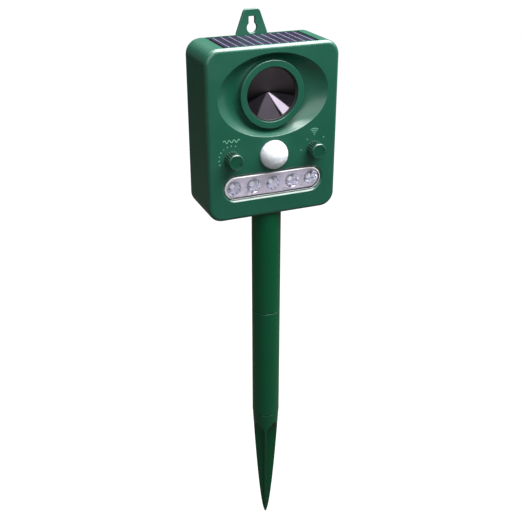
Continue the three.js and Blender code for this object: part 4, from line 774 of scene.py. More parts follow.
def make_front_shell():
    """The head's front shell with its dish, collar, strip recess, panel recess and stake socket."""
    shell = solid("housing_shell", shell_rings(shell_angles()), joined=True)
    wall, flare, bore = size("wall"), size("strip_flare"), SOCKET_BORE
    root, boss_end, post_end = 1.2, COVER_FRONT - 4.9, 16.1
    screws, posts = places_of("housing_screw", 4), places_of("board_screw", 2)
    sleeve = upright("sleeve", [(0, 14.6), (bore + 1.6, 14.6), (bore + 2, 14.2), (bore + 2, root)],
                     middle_y=STAKE_Y, at=HEAD_AT)
    keep = stacked("keep", oblong(HALF_WIDTH - 0.5, 0.5, HEAD_HEIGHT - 0.5, CORNER - 0.5),
                   [(0, 0.6), (0, HOUSING_REAR)])
    added = [shaped(sleeve, within=[keep])]
    added += [peg("boss", BOSS_RADIUS, root, boss_end, x, z, 40) for x, z in screws]
    added += [peg("post", 2.8, root, post_end, x, z, 32) for x, z in posts]
    strip = stadium(STRIP_HALF_LENGTH, STRIP_HALF_HEIGHT, STRIP_Z, 28)
    strip_levels = [(-flare - 0.6, -0.6), (-flare - 0.25, -0.05), (-flare, 0.12),
                    (-flare * 0.1, 1.65), (0, 1.9), (0, wall + 1)]
    panel, panel_rear, panel_rings = oblong(40, 3.3, 50, 1.2, 6), 50, []
    for grow, z in ((0, 136.4), (0, 138.5), (0.12, 138.85), (0.5, 139.1), (0.9, 140.5)):
        flat = drawn_in(panel, -grow)
        flat[:, 1] = np.minimum(flat[:, 1], panel_rear)
        panel_rings.append(level_ring(flat, z))
    lead_x, lead_y, hole = 32.0, 30.0, 2.0
    lead_hole = oblong(hole, lead_y - hole, lead_y + hole, 0.6, 4, lead_x)
    socket = [(0, -1), (bore + 0.9, -1), (bore + 0.5, 0), (bore, 0.6), (bore, 13), (0, 13)]
    lens_hole = [(0, -1), (12.9, -1), (12.5, -0.1), (12.1, 0.35), (12.1, 2.4), (13.85, 2.4),
                 (13.85, 7.2), (0, 7.2)]
    removed = [
        upright("bore", socket, middle_y=STAKE_Y, at=HEAD_AT),
        stacked("strip", strip, strip_levels),
        spun("lens_hole", lens_hole, 0, SENSOR_Z, 128),
        solid("panel_recess", panel_rings),
        solid("lead_hole", [level_ring(lead_hole, z) for z in (133.0, 137.0)]),
    ]
    removed += [peg("shaft_hole", 3.6, -1, 4, x, KNOB_Z, 40) for x in (-KNOB_X, KNOB_X)]
    removed += [peg("pilot", 1.8, boss_end - 13, boss_end + 1, x, z, 20) for x, z in screws]
    removed += [peg("post_pilot", 1.3, 8.1, 17, x, z, 16) for x, z in posts]
    shaped(shell, added, removed)
    dressed(shell, "head", finish("shell green"), ["front_housing"], crease=26)


# ------------------------------------------------------------------ rear shell

def tab_outline():
    """The hanger tab: a tall trapezium with rounded top corners, rooted in the rear shell."""
    foot, shoulder, top = 133, 139, 158.5
    corners = [(-13.7, foot), (13.7, foot), (13.7, shoulder), (6.5, top), (-6.5, top),
               (-13.7, shoulder)]
    return rounded_corners(corners, [0.2, 0.2, 2.5, 2.6, 2.6, 2.5], 10)


def keyhole_outline():
    """A round hole with a slot above it that ends square, its corners eased."""
    slot, radius, middle, top = 2.65, 4.3, 143.9, 152.8
    mouth = math.asin(slot / radius)
    turn = np.linspace(math.pi / 2 + mouth, 2.5 * math.pi - mouth, 48)
    lower = np.stack([radius * np.cos(turn), middle + radius * np.sin(turn)], axis=-1)
    upper = rounded_corners([(slot, top - 2), (slot, top), (-slot, top), (-slot, top - 2)],
                            [0, 0.5, 0.5, 0], 6, False)
    return np.vstack([lower, upper])


def eased_mouth(radius, edge):
    """The end of a hole's profile, from its straight wall out past the rear face."""
    behind = HEAD_DEPTH + 1
    return [(radius, HEAD_DEPTH - edge), (radius + edge, HEAD_DEPTH), (radius + edge, behind),
            (0, behind)]


def make_rear_shell():
    """The rear shell with the hanger tab, doorway, screw recesses, button hole and port."""
    fillet, edge, joint = size("rear_fillet"), size("edge"), COVER_FRONT
    levels = [(0.25, joint), (0.07, joint + 0.07), (0, joint + 0.25)]
    levels += [(fillet * (1 - math.cos(t)), HEAD_DEPTH - fillet * (1 - math.sin(t)))
               for t in np.linspace(0, np.pi / 2, 8)]
    rings = [placed(oblong(HALF_WIDTH - i, i, HEAD_HEIGHT - i, CORNER - i, 14), y)
             for i, y in levels]
    shell = solid("rear_shell", rings)
    tab = stacked("tab", tab_outline(), soft_levels(joint, HEAD_DEPTH, 0.6, steps=5))

    def lip_outline(inset=0.0):
        return oblong(HALF_WIDTH - 4.5 - inset, 4.5 + inset, HEAD_HEIGHT - 6.7 - inset, 7.5 - inset)

    lip = stacked("lip", lip_outline(), [(0.3, joint - 2.8), (0, joint - 2.5), (0, joint + 0.5)])
    shaped(lip, (), [stacked("lip_void", lip_outline(1.4), [(0, joint - 4), (0, joint + 0.01)])])
    bosses = []
    screws = places_of("housing_screw", 4)
    for x, z in screws:
        boss = peg("cover_boss", BOSS_RADIUS, joint - 4.6, joint + 0.5, x, z, 40)
        keep = stacked("keep", lip_outline(), [(0, joint - 6), (0, HEAD_DEPTH)])
        bosses.append(shaped(boss, within=[keep]))
    button, flap = head_middle("power_button"), head_middle("charging_flap")
    port_x, port_z = 16.0, button[2]
    ribs = [brick("rib", x + s * 7.1 - 0.8, x + s * 7.1 + 0.8, joint - 8, joint + 0.5,
                  port_z - 5, port_z + 5) for x in (button[0], flap[0]) for s in (-1, 1)]
    shaped(shell, [tab, lip, *bosses, *ribs])
    doorway = stacked("doorway", oblong(27.6, 22.9, 79.6, 2.5, 8),
                      [(0, joint - 1), (0, HEAD_DEPTH - 0.3), (-0.09, HEAD_DEPTH - 0.09),
                       (-0.3, HEAD_DEPTH), (-0.3, HEAD_DEPTH + 1)])
    shaped(shell, (), [doorway])
    door_x, _, door_z = head_middle("door_screw")
    shelf_half, shelf_high = 29.1, 81.6
    shelf_low = head_box("battery_tray")[1][2] + 0.6
    shelf = [
        brick("shelf", -shelf_half, shelf_half, joint - 2.4, joint, shelf_low, shelf_high),
        brick("shelf_root", -shelf_half, shelf_half, joint - 1, joint + 0.5, 79.6, shelf_high),
        peg("door_boss", 4, joint - 8, joint - 0.2, door_x, door_z, 32),
    ]
    removed = [stacked("keyhole", keyhole_outline(),
                       [(-0.6, joint - 0.5), (-edge, joint), (0, joint + edge),
                        (0, HEAD_DEPTH - edge), (-edge, HEAD_DEPTH), (-0.6, HEAD_DEPTH + 0.5)])]
    removed += [spun("screw_way", [(0, 30), (1.9, 30), (1.9, 45.3), (3.3, 45.3),
                                   *eased_mouth(3.3, edge)], x, z, 48) for x, z in screws]
    removed += [
        peg("door_screw_way", 1.9, joint - 7, joint + 0.5, door_x, door_z, 24),
        spun("button_way", [(0, joint - 1), (4.2, joint - 1), *eased_mouth(4.2, edge)],
             button[0], button[2], 64),
        stacked("flap_way", oblong(6.4, port_z - 3.9, port_z + 3.9, 1.0, 6, port_x),
                [(0, 46.6), (0, HEAD_DEPTH - 0.3), (-0.3, HEAD_DEPTH), (-0.3, HEAD_DEPTH + 1)]),
        stacked("port_way", oblong(4.9, port_z - 2.1, port_z + 2.1, 1.2, 6, port_x),
                [(0, joint - 1), (0, HEAD_DEPTH)]),
    ]
    shaped(shell, shelf, removed)
    dressed(shell, "head", finish("shell green"), ["back_cover"], crease=26)


def cross_screw(name, body, node, corners, radii, recess):
    """A turned screw. The cross recess in its head is two bars, narrower at their bottom."""
    x, _, z = head_middle(node)
    face = corners[-1][1]
    screw = spun(name, rounded_corners(corners, radii, 5, closed=False), x, z, 48)
    bars = [stacked("bar", oblong(wide, z - high, z + high, 0.1, 3, x),
                    [(0.25, face - recess), (0, face), (0, face + 0.5)])
            for wide, high in ((1.9, 0.45), (0.45, 1.9))]
    shaped(screw, (), bars)
    dressed(screw, body, finish("plated steel"), [node])


def make_case_fasteners():
    """The four case screws."""
    for i in (1, 2, 3, 4):
        cross_screw(
            f"case_fastener_{i}", "head", f"housing_screw_{i}",
            [(0, 29.6), (0.75, 29.6), (1.5, 31.1), (1.5, 45.6), (2.9, 45.6), (2.9, 46.5),
             (2.1, 47.5), (0, 47.5)],
            [0, 0.1, 0.2, 0, 0.15, 0.5, 0.5, 0], 1.1,
        )


def make_door():
    """The battery door with its finger grips, and the captive screw at its top."""
    outline = oblong(27.3, 23.2, 79.3, 2.2, 8)
    door = stacked("door_panel", outline, soft_levels(46.1, 48.3, 0.2, 0.35))
    x, _, z = head_middle("door_screw")
    seat = [(0, 46.9), (3.3, 46.9), (3.3, 48.0), (3.6, 48.3), (3.6, 49.5), (0, 49.5)]
    cuts = [spun("seat", seat, x, z, 48), peg("shank_way", 1.9, 45, 47.2, x, z, 24)]
    grip_levels = [(0.3, 47.7), (0.08, 47.78), (0, 48.0), (0, 48.15), (-0.15, 48.32), (-0.3, 49.0)]
    for grip in (-8, -4, 0, 4, 8):
        cuts.append(stacked("grip", oblong(0.7, 26.9, 34.9, 0.69, 8, grip), grip_levels))
    shaped(door, (), cuts)
    dressed(door, "battery_door_body", finish("shell green"), ["battery_door"],
            crease=26)
    tip = head_box("door_screw")[0][1]
    cross_screw(
        "door_fastener", "battery_door_body", "door_screw",
        [(0, tip), (0.7, tip), (1.5, tip + 1.2), (1.5, 47.2), (2.9, 47.2), (2.9, 47.8),
         (2.3, 48.3), (0, 48.3)],
        [0, 0.1, 0.2, 0, 0.1, 0.3, 0.4, 0], 0.8,
    )


def make_rear_controls():
    """The rubber power button with a ring groove, and the charging port's flap with a pull lip."""
    low, high = head_box("power_button")
    x, _, z = head_middle("power_button")
    skirt, top = low[1] + 4.4, 48.3
    profile = rounded_corners(
        [(0, low[1]), (1.8, low[1]), (1.8, skirt), (3.9, skirt), (3.9, top), (2.9, top),
         (2.7, 48.0), (2.4, 48.0), (2.2, top), (0, top)],
        [0, 0.2, 0, 0.2, 0.45, 0.08, 0.06, 0.06, 0.08, 0], 5, closed=False,
    )
    button = spun("button_cap", profile, x, z, 64)
    dressed(button, "power_button_body", finish("rubber black"),
            ["power_button"], crease=40)
    low, high = head_box("charging_flap")
    middle, rear = (low[0] + high[0]) / 2, high[1]
    outline = oblong((high[0] - low[0]) / 2, low[2], high[2], 0.9, 6, middle)
    flap = stacked("flap_cover", outline, soft_levels(low[1], rear, 0.2, 0.3))
    grip = stacked("grip", oblong(1.9, high[2] - 1.7, high[2] - 0.9, 0.39, 6, middle),
                   [(0.1, rear - 0.5), (0, rear - 0.2), (0, rear + 1)])
    line = stacked("line", oblong(4.6, low[2] + 0.9, low[2] + 1.3, 0.19, 4, middle),
                   [(0.05, rear - 0.3), (0, rear - 0.1), (0, rear + 1)])
    shaped(flap, (), [grip, line])
    dressed(flap, "charging_flap_body", finish("rubber black"),
            ["charging_flap"], crease=40)


# ------------------------------------------------------------------ panel, sounder, dome

def flat_slab(name, node, edge, corner):
    """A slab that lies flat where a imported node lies, its upper and lower edges rounded."""
    low, high = head_box(node)
    middle_y = (low[1] + high[1]) / 2
    outline = oblong((high[0] - low[0]) / 2, low[1] - middle_y, high[1] - middle_y, corner, 6)
    rings = [level_ring(drawn_in(outline, inset) + (0, middle_y), level)
             for inset, level in soft_levels(low[2], high[2], edge)]
    return solid(name, rings)


def make_sun_panel():
    """The solar panel: a black backing and the cells on it."""
    backing = flat_slab("panel_backing", "solar_board", 0.2, 0.8)
    dressed(backing, "head", finish("backing black"), ["solar_board"])
    face = flat_slab("panel_face", "solar_cells", 0.12, 0.4)
    dressed(face, "head", finish("cell violet"), ["solar_cells"])


def make_sounder():
    """The gasket, and the polished funnel: a straight cone with a faintly rounded tip."""
    ring = rounded_corners([(20.6, 4.9), (24.3, 4.9), (24.3, 6.1), (20.6, 6.1)], 0.4, 6)
    gasket = spun("gasket_ring", ring, 0, DISH_Z, 160, joined=True)
    dressed(gasket, "head", finish("rubber black"), ["speaker_gasket"], crease=40)
    rim, rim_front, depth, wall = 20.5, 6.4, 7.15, 0.8
    radius = rim * np.linspace(0, 1, 60) ** 0.9
    front = rim_front + depth * (1 - radius / rim)
    rounding = 0.25 * np.exp(-((radius / 0.45) ** 2))
    outer = np.stack([radius, front - rounding], axis=-1)
    inner = np.stack([radius, front + wall], axis=-1)[::-1]
    profile = np.vstack([outer, [(rim, rim_front + 0.2)], inner])
    funnel = spun("polished_funnel", profile, 0, DISH_Z, 192)
    dressed(funnel, "head", finish("funnel metal"), ["speaker_cone"], crease=60)


def make_motion_dome():
    """The motion sensor's dome: a quarter-oval profile, scored into facets.

    Its radius is R times the sine of a quarter turn and its height H times the cosine. Narrow
    grooves run round it between bands of facets and up it between neighbouring facets.
    """
    radius, height, wall, groove = 11.8, 9.6, 1.0, size("facet_groove")
    columns = 288
    angle = np.arange(columns) / columns * 2 * np.pi
    turn = np.linspace(0, np.pi / 2, 90)
    bands = np.array([0.0, 0.24, 0.55, 0.86, 1.17, 1.8])
    counts = np.array([1, 6, 10, 14, 16])
    band = np.clip(np.searchsorted(bands, turn, side="right") - 1, 0, 4)
    to_band = np.min(np.abs(turn[:, None] - bands[None, 1:]), axis=1)
    across = np.exp(-((to_band / 0.022) ** 2))[:, None]
    count = counts[band][:, None]
    turned = angle[None, :] * count / (2 * np.pi) + 0.5 * (band[:, None] % 2)
    phase = np.abs(np.mod(turned, 1) - 0.5)
    gap = (0.5 - phase) * 2 * np.pi / count * np.maximum(np.sin(turn), 0.05)[:, None]
    upward = np.where(count > 1, np.exp(-((gap / 0.02) ** 2)), 0.0)
    sunk = groove * np.maximum(across * (turn[:, None] > 0.1), upward)
    r = (radius - sunk) * np.sin(turn)[:, None]
    y = -(height - sunk) * np.cos(turn)[:, None]
    z = SENSOR_Z + r * np.sin(angle)
    outer = np.stack([r * np.cos(angle), np.broadcast_to(y, r.shape), z], axis=-1)
    flange = 13.55
    lower = [(radius, 0.6), (radius, 2.7), (flange - 0.1, 2.7), (flange, 2.8), (flange, 3.8),
             (flange - 0.1, 3.9), (radius - wall, 3.9)]
    turn = np.linspace(np.pi / 2, 0, 24)
    inner = [((radius - wall) * math.sin(t), -(height - wall) * math.cos(t)) for t in turn]
    below = [placed(circle(max(q, 0.0), SENSOR_Z, columns), depth) for q, depth in lower + inner]
    dome = solid("lens_dome", np.concatenate([outer, np.array(below)]))
    dressed(dome, "head", finish("lens white"), ["sensor_lens"], crease=50)


# ------------------------------------------------------------------ knobs and dial marks

def knob(name, x, pointer):
    """A knurled knob: its skirt's radius dips between ribs by the rib depth times (1-|sin|)^0.9."""
    radius, dip = size("knob_radius"), size("rib_depth")
    ribs, columns = 20, 420
    angle = np.arange(columns) / columns * 2 * np.pi
    wave = dip * (1 - np.abs(np.sin(angle * ribs / 2))) ** 0.9
    # Depth, inset and share of the ribs' depth at each ring.
    levels = [(-0.3, 0.5, 0.0), (-0.3, 0.15, 0.0), (-0.45, 0.0, 0.3), (-1.2, 0.0, 1.0),
              (-8.3, 0.0, 1.0), (-8.6, 0.0, 0.9), (-8.85, 0.12, 0.3), (-9.2, 0.42, 0.0),
              (-9.55, 0.74, 0.0), (-9.75, 1.0, 0.0), (-9.8, 1.25, 0.0), (-9.72, 1.5, 0.0),
              (-9.62, 1.8, 0.0), (-9.6, 3.0, 0.0)]
    rings = []
    for depth, inset, ribbed in levels:
        r = radius - inset - wave * ribbed
        flat = np.stack([x + r * np.cos(angle), KNOB_Z + r * np.sin(angle)], axis=-1)
        rings.append(placed(flat, depth))
    cap = solid(name, rings)
    along = np.array((math.cos(pointer), math.sin(pointer)))
    near, far, half = 2.6, 8.0, 0.5
    outline = rounded_corners([(near, -half), (far, -half), (far, half), (near, half)],
                              [0.45, 0, 0, 0.45], 5)
    slot = outline[:, :1] * along + outline[:, 1:] * (-along[1], along[0]) + (x, KNOB_Z)
    cut = stacked("slot", slot, [(-0.35, -10.5), (-0.1, -9.8), (0.0, -9.5), (0.05, -8.9)])
    return shaped(cap, (), [cut])


def make_knobs():
    """The two control knobs."""
    for name, body, node, x, degrees in (
        ("dial_frequency", "frequency_knob", "knob_frequency", -KNOB_X, -30.0),
        ("dial_sensitivity", "sensitivity_knob", "knob_sensitivity", KNOB_X, 0.0),
    ):
        cap = knob(name, x, math.radians(degrees))
        dressed(cap, body, finish("knob green"), [node], crease=34)
        # Faces sunk between the ribs get the darker green: painted shade in the grooves.
        face_x, face_y, face_z = face_centres(cap)
        away = np.hypot(face_x - x, face_z - KNOB_Z)
        sunk = away < size("knob_radius") - 0.4 * size("rib_depth")
        second_finish(cap, finish("groove green"), sunk & (face_y > -8.3) & (face_y < -0.5))


MARK_DEPTHS = -0.06, 0.05


def stroke(path, half_width):
    """A flat printed line along a path of (X, Z) points, square in section."""
    path = np.asarray(path, float)
    along = np.gradient(path, axis=0)
    along /= np.linalg.norm(along, axis=1, keepdims=True)
    side = np.stack([-along[:, 1], along[:, 0]], axis=-1) * half_width
    front, rear = MARK_DEPTHS
    rings = np.stack([placed(path + side, front), placed(path - side, front),
                      placed(path - side, rear), placed(path + side, rear)], axis=1)
    return solid("stroke", rings)


def make_dial_marks():
    """Dots round the left knob, short marks round the right one, and a plain sign above each."""
    front, rear = MARK_DEPTHS
    parts = []
    dot = [(0, front), (0.42, front), (0.46, -0.03), (0.46, rear), (0, rear)]
    for turn in np.radians(np.linspace(200, 73, 8)):
        dot_x, dot_z = -KNOB_X - 0.3 + 10.8 * math.cos(turn), KNOB_Z + 10.8 * math.sin(turn)
        parts.append(spun("dot", dot, dot_x, dot_z, 20))
    for degrees, away in ((180, 11.5), (127, 10.5), (46, 12.0)):
        turn = math.radians(degrees)
        outward = np.array((math.cos(turn), math.sin(turn)))
        share = np.linspace(-0.75, 0.75, 4)[:, None]
        parts.append(stroke((KNOB_X, KNOB_Z) + outward * (away + share), 0.3))
    wave_left, wave_right, wave_z = -43, -29, 67.4
    x = np.linspace(wave_left, wave_right, 60)
    wave = 1.15 * np.sin((x - wave_left) / (wave_right - wave_left) * 2 * np.pi * 3.5)
    parts.append(stroke(np.stack([x, wave_z + wave], axis=-1), 0.28))
    arc_x, arc_z = 35.7, 64.4
    turn = np.linspace(math.radians(50), math.radians(130), 24)
    for radius in (2.0, 3.6, 5.2):
        arc = np.stack([arc_x + radius * np.cos(turn), arc_z + radius * np.sin(turn)], axis=-1)
        parts.append(stroke(arc, 0.26))
    parts.append(peg("dot", 0.5, front, rear, arc_x, arc_z + 0.2, 20))
    marks = joined_objects("dial_marks", parts)
    dressed(marks, "head", finish("print pale"))


# ------------------------------------------------------------------ lamp strip

def make_lamp_strip():
    """The clear window, the metallised reflector with faceted cups, and the five lamps."""
    pane = stadium(STRIP_HALF_LENGTH - 0.3, STRIP_HALF_HEIGHT - 0.3, STRIP_Z, 24)
    pane_front, bevel_end = 0.35, 0.9
    window = stacked("lamp_window", pane, [
        (0.55, pane_front), (0.16, 0.46), (0, bevel_end), (0, 2.7), (-1.2, 2.7), (-1.2, 3.7),
        (0.8, 3.7), (0.8, 1.15),
    ])
    dressed(window, "head", finish("clear plastic"), ["light_window"])
    # The window's front bevel gets a pale opaque finish: a painted highlight along the clear edge.
    _, y, _ = face_centres(window)
    bevel = (y > pane_front + 0.01) & (y < bevel_end - 0.01)
    second_finish(window, finish("frosted edge"), bevel)
    low, high = head_box("light_reflector")
    half_x, half_z = (high[0] - low[0]) / 2, (high[2] - low[2]) / 2
    plate = stadium(half_x, half_z, (low[2] + high[2]) / 2, 24)
    step, face = half_z - 8.2, 1.7
    reflector = stacked("lamp_reflector", plate, [
        (step + 0.2, face), (step, face + 0.2), (step, low[1]), (0, low[1]), (0, high[1]),
    ])
    places = places_of("led", 5)
    cup = [(0, 1.0), (6.5, 1.0), (6.5, 1.45), (6.1, 1.95), (5.75, 3.1), (5.0, 5.0), (3.9, 6.9),
           (3.3, 7.6), (3.3, 9.5), (0, 9.5)]
    shaped(reflector, (), [spun("cup", cup, x, z, 12) for x, z in places])
    dressed(reflector, "head", finish("mirror plastic"), ["light_reflector"],
            crease=8)
    x, y, z = face_centres(reflector)
    away = np.min([np.hypot(x - cup_x, z - cup_z) for cup_x, cup_z in places], axis=0)
    inside = (away < 6.45) & (y > face + 0.1) & (y < high[1] - 0.05)
    second_finish(reflector, finish("cup mirror"), inside)
    turn = np.linspace(0, np.pi / 2, 12)
    lamp_profile = [(2.5 * math.sin(t), 6.0 - 2.0 * math.cos(t)) for t in turn]
    lamp_profile += [(2.5, 8.1), (2.55, 8.2), (2.85, 8.2), (2.9, 8.25), (2.9, 8.95), (2.85, 9.0),
                     (0, 9.0)]
    for i, (x, z) in enumerate(places, 1):
        lamp = spun(f"lamp_{i}", lamp_profile, x, z, 40)
        dressed(lamp, "head", finish("lamp epoxy"), [f"led_{i}"])


# ------------------------------------------------------------------ stake

TUBE_OUTER, TUBE_INNER, NECK_OUTER, NECK_INNER = 12.5, 10.8, 10.5, 8.8


def make_stake_tubes():
    """The two tubes: plain lathe profiles with eased edges, the lower one with a push-fit neck."""
    outer, inner = TUBE_OUTER, TUBE_INNER
    low, high = (corner[2] for corner in box_of("upper_tube"))
    profile = rounded_corners([(inner, low), (outer, low), (outer, high), (inner, high)],
                              [0.25, 0.55, 0.35, 0.25], 6)
    tube = upright("stake_upper", profile, joined=True)
    dressed(tube, "upper_stake", finish("stake green"), ["upper_tube"])
    low, high = (corner[2] for corner in box_of("lower_tube"))
    shoulder = 110.5
    step = shoulder - 3.7
    profile = rounded_corners(
        [(inner, low), (outer, low), (outer, shoulder), (NECK_OUTER, shoulder),
         (NECK_OUTER, high), (NECK_INNER, high), (NECK_INNER, step), (inner, step - 2.7)],
        [0.25, 0.55, 0.55, 0.0, 0.8, 0.3, 0.3, 0.3], 6,
    )
    tube = upright("stake_lower", profile, joined=True)
    dressed(tube, "lower_stake", finish("stake green"), ["lower_tube"])


def make_spike():
    """The ground spike: a pointed cross of four fins under a collar.

    At depth share t the half width is 12.3 (1-t)^0.56. Between the fins the surface stands a
    corner distance c from both middle planes: c is half the fin's thickness low down, and rises
    with a quarter cosine to the full round under the collar, which leaves an arched scoop. The
    two reaches are blended as the root of their summed powers.
    """
    long, top, power = 128.7, 12.3, 0.56
    half_fin, softness = 1.2, 18.0
    scoop_low, scoop_run, round_to = -22, 14, -8.05
    neck_top, neck = 20.0, NECK_OUTER
    columns = 320
    even = np.arange(columns) / columns * 2 * np.pi
    angle = even - 0.2 * np.sin(4 * even)
    nearest = np.maximum(np.minimum(np.abs(np.sin(angle)), np.abs(np.cos(angle))), 1e-3)
    turned = angle + math.radians(-22)

    def section(z):
        share = min(max(-z / long, 0.0), 1.0)
        wide = top * (1 - share) ** power
        if z > round_to:
            return wide
        rise = min(max((z - scoop_low) / scoop_run, 0.0), 1.0)
        corner = half_fin + 9.8 * (1 - math.cos(rise * math.pi / 2))
        return (wide ** -softness + (corner / nearest) ** -softness) ** (-1 / softness)

    def ring(radius, z):
        radius = np.broadcast_to(radius, turned.shape)
        return level_ring(np.stack([radius * np.cos(turned), radius * np.sin(turned)], axis=-1), z)

    rings = [ring(r, z) for r, z in (
        (0.0, 1.0), (8.5, 1.0), (8.5, neck_top - 0.3), (8.8, neck_top), (9.7, neck_top),
        (10.3, neck_top - 0.4), (neck, neck_top - 0.8), (neck, 0.0), (11.5, 0.0), (11.95, -0.12),
        (12.2, -0.4),
    )]
    levels = np.concatenate([
        [-0.9, -1.5, -4.0, -7.4, -7.8, -8.0, -8.06, -8.12], np.linspace(-8.3, scoop_low, 30),
        np.linspace(-23.5, -122, 90), -long + 6.4 * np.linspace(1, 0, 12)[:-1] ** 2,
    ])
    rings += [ring(section(z), z) for z in levels]
    rings += [ring(0.12, -long + 0.02), ring(0.0, -long)]
    spike = solid("stake_spike", rings, at=STAKE_AT)
    dressed(spike, "spike", finish("stake green"), ["ground_spike"], crease=38)


# ------------------------------------------------------------------ inner parts

def finish_inner_parts():
    """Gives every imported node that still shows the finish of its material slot."""
    slots = {row["node"]: row["material_slot"] for row in frame["record"]["subparts"]}
    for name, obj in frame["nodes"].items():
        material = finish(SLOT_FINISHES[slots[name]])
        for place in obj.material_slots:
            place.material = material
        if not obj.material_slots:
            raise RuntimeError(f"{name} has no material slot")


# ------------------------------------------------------------------ studio

TARGET = Vector((-0.0008, 0.0096, 0.1534))
CAMERA_BACK = Vector((-0.343, -0.828, 0.443)).normalized()
CAMERA_DISTANCE = 0.7241
CAMERA_LENS = 56.4
FLOOR_Z = -0.1297


def soft_light(name, towards, distance, width, height, watts, hue=(1, 1, 1), aim=TARGET):
    """A rectangular lamp that stands a distance from its aim, in a direction, and faces it."""
    lamp = bpy.data.lights.new(name, "AREA")
    lamp.shape = "RECTANGLE"
    lamp.size, lamp.size_y = width, height
    lamp.energy = watts
    lamp.color = hue
    obj = shown(name, lamp)
    direction = Vector(towards).normalized()
    obj.location = aim + direction * distance
    obj.rotation_euler = direction.to_track_quat("Z", "Y").to_euler()


def make_world():
    """A white surround for the camera, which lights the object only faintly."""
    world = bpy.data.worlds.new("studio")
    bpy.context.scene.world = world
    world.use_nodes = True
    nodes, link = world.node_tree.nodes, world.node_tree.links.new
    nodes.clear()
    path, pick = nodes.new("ShaderNodeLightPath"), nodes.new("ShaderNodeMixShader")
    link(path.outputs["Is Camera Ray"], pick.inputs[0])
    for place, strength, hue in ((1, 0.1, (0.92, 0.97, 1, 1)), (2, 1.0, (1, 1, 1, 1))):
        surround = nodes.new("ShaderNodeBackground")
        surround.inputs["Strength"].default_value = strength
        surround.inputs["Color"].default_value = hue
        link(surround.outputs[0], pick.inputs[place])
    link(pick.outputs[0], nodes.new("ShaderNodeOutputWorld").inputs["Surface"])


def make_floor():
    """A plain floor just under the spike's tip, white to the camera and dim to the object."""
    half = 3.0
    corners = np.array([(-half, -half), (half, -half), (half, half), (-half, half)])
    mesh = bpy.data.meshes.new("floor")
    mesh.from_pydata(level_ring(corners, FLOOR_Z).tolist(), [], [(0, 1, 2, 3)])
    floor = shown("floor", mesh)
    material, tree, shader = new_material("floor pale")
    shader.inputs["Base Color"].default_value = (0.025, 0.025, 0.02, 1)
    shader.inputs["Roughness"].default_value = 0.8
    glow, path = tree.nodes.new("ShaderNodeEmission"), tree.nodes.new("ShaderNodeLightPath")
    lit = tree.nodes.new("ShaderNodeAddShader")
    glow.inputs["Color"].default_value = (1, 1, 1, 1)
    tree.links.new(path.outputs["Is Camera Ray"], glow.inputs["Strength"])
    tree.links.new(shader.outputs[0], lit.inputs[0])
    tree.links.new(glow.outputs[0], lit.inputs[1])
    tree.links.new(lit.outputs[0], tree.nodes["Material Output"].inputs["Surface"])
    mesh.materials.append(material)


def make_studio():
    """The floor, surround, soft lamps and camera."""
    scene = bpy.context.scene
    scene.view_settings.view_transform = "Standard"
    make_world()
    make_floor()
    head, funnel = Vector((0.0, 0.0, 0.28)), Vector((0, -0.009, 0.308))
    soft_light("top light", (0.34, -0.17, 0.92), 0.95, 1.2, 1.05, 76, aim=head)
    soft_light("front fill", (-0.49, -0.79, 0.39), 1.3, 1.0, 0.9, 7, aim=head)
    soft_light("funnel light", (-0.04, -0.965, 0.23), 1.1, 0.27, 0.22, 0.9, aim=funnel)
    soft_light("funnel card", (0.483, -0.807, 0.31), 1.1, 0.85, 0.32, 0.45, aim=funnel)
    soft_light("right rim", (0.95, -0.2, 0.15), 1.2, 0.25, 1.2, 0.8)
    soft_light("back rim", (0.8, 0.55, 0.25), 1.2, 0.3, 1.0, 1.0)
    soft_light("back fill", (-0.15, 0.55, 0.82), 1.3, 0.8, 0.8, 9.0, aim=head)
    soft_light("left bounce", (-0.96, 0.25, -0.1), 1.2, 0.6, 0.9, 0.9, hue=(0.75, 0.8, 0.25))
    lens = bpy.data.cameras.new("camera")
    lens.lens = CAMERA_LENS
    lens.sensor_width = 36.0
    lens.clip_start, lens.clip_end = 0.01, 50.0
    camera = shown("camera", lens)
    camera.location = TARGET + CAMERA_BACK * CAMERA_DISTANCE
    camera.rotation_euler = CAMERA_BACK.to_track_quat("Z", "Y").to_euler()
    scene.camera = camera


# ------------------------------------------------------------------ operators and panel

class REPELLER_OT_studio(bpy.types.Operator):
    """Sets up the floor, surround, soft lamps and camera"""

    bl_idname = "repeller.studio"
    bl_label = "Studio"

    def execute(self, context):
        make_studio()
        return {"FINISHED"}


class REPELLER_OT_front_shell(bpy.types.Operator):
    """Makes the head's front shell with its dish and recesses"""

    bl_idname = "repeller.front_shell"
    bl_label = "Front Shell"

    def execute(self, context):
        make_front_shell()
        return {"FINISHED"}


class REPELLER_OT_rear_shell(bpy.types.Operator):
    """Makes the rear shell with the hanger tab"""

    bl_idname = "repeller.rear_shell"
    bl_label = "Rear Shell"

    def execute(self, context):
        make_rear_shell()
        return {"FINISHED"}


class REPELLER_OT_case_fasteners(bpy.types.Operator):
    """Makes the four case screws"""

    bl_idname = "repeller.case_fasteners"
    bl_label = "Case Screws"

    def execute(self, context):
        make_case_fasteners()
        return {"FINISHED"}


class REPELLER_OT_door(bpy.types.Operator):
    """Makes the battery door and its screw"""

    bl_idname = "repeller.door"
    bl_label = "Battery Door"

    def execute(self, context):
        make_door()
        return {"FINISHED"}


class REPELLER_OT_rear_controls(bpy.types.Operator):
    """Makes the power button and the charging flap"""

    bl_idname = "repeller.rear_controls"
    bl_label = "Rear Controls"

    def execute(self, context):
        make_rear_controls()
        return {"FINISHED"}


class REPELLER_OT_sun_panel(bpy.types.Operator):
    """Makes the solar panel's backing and cells"""

    bl_idname = "repeller.sun_panel"
    bl_label = "Solar Panel"

    def execute(self, context):
        make_sun_panel()
        return {"FINISHED"}


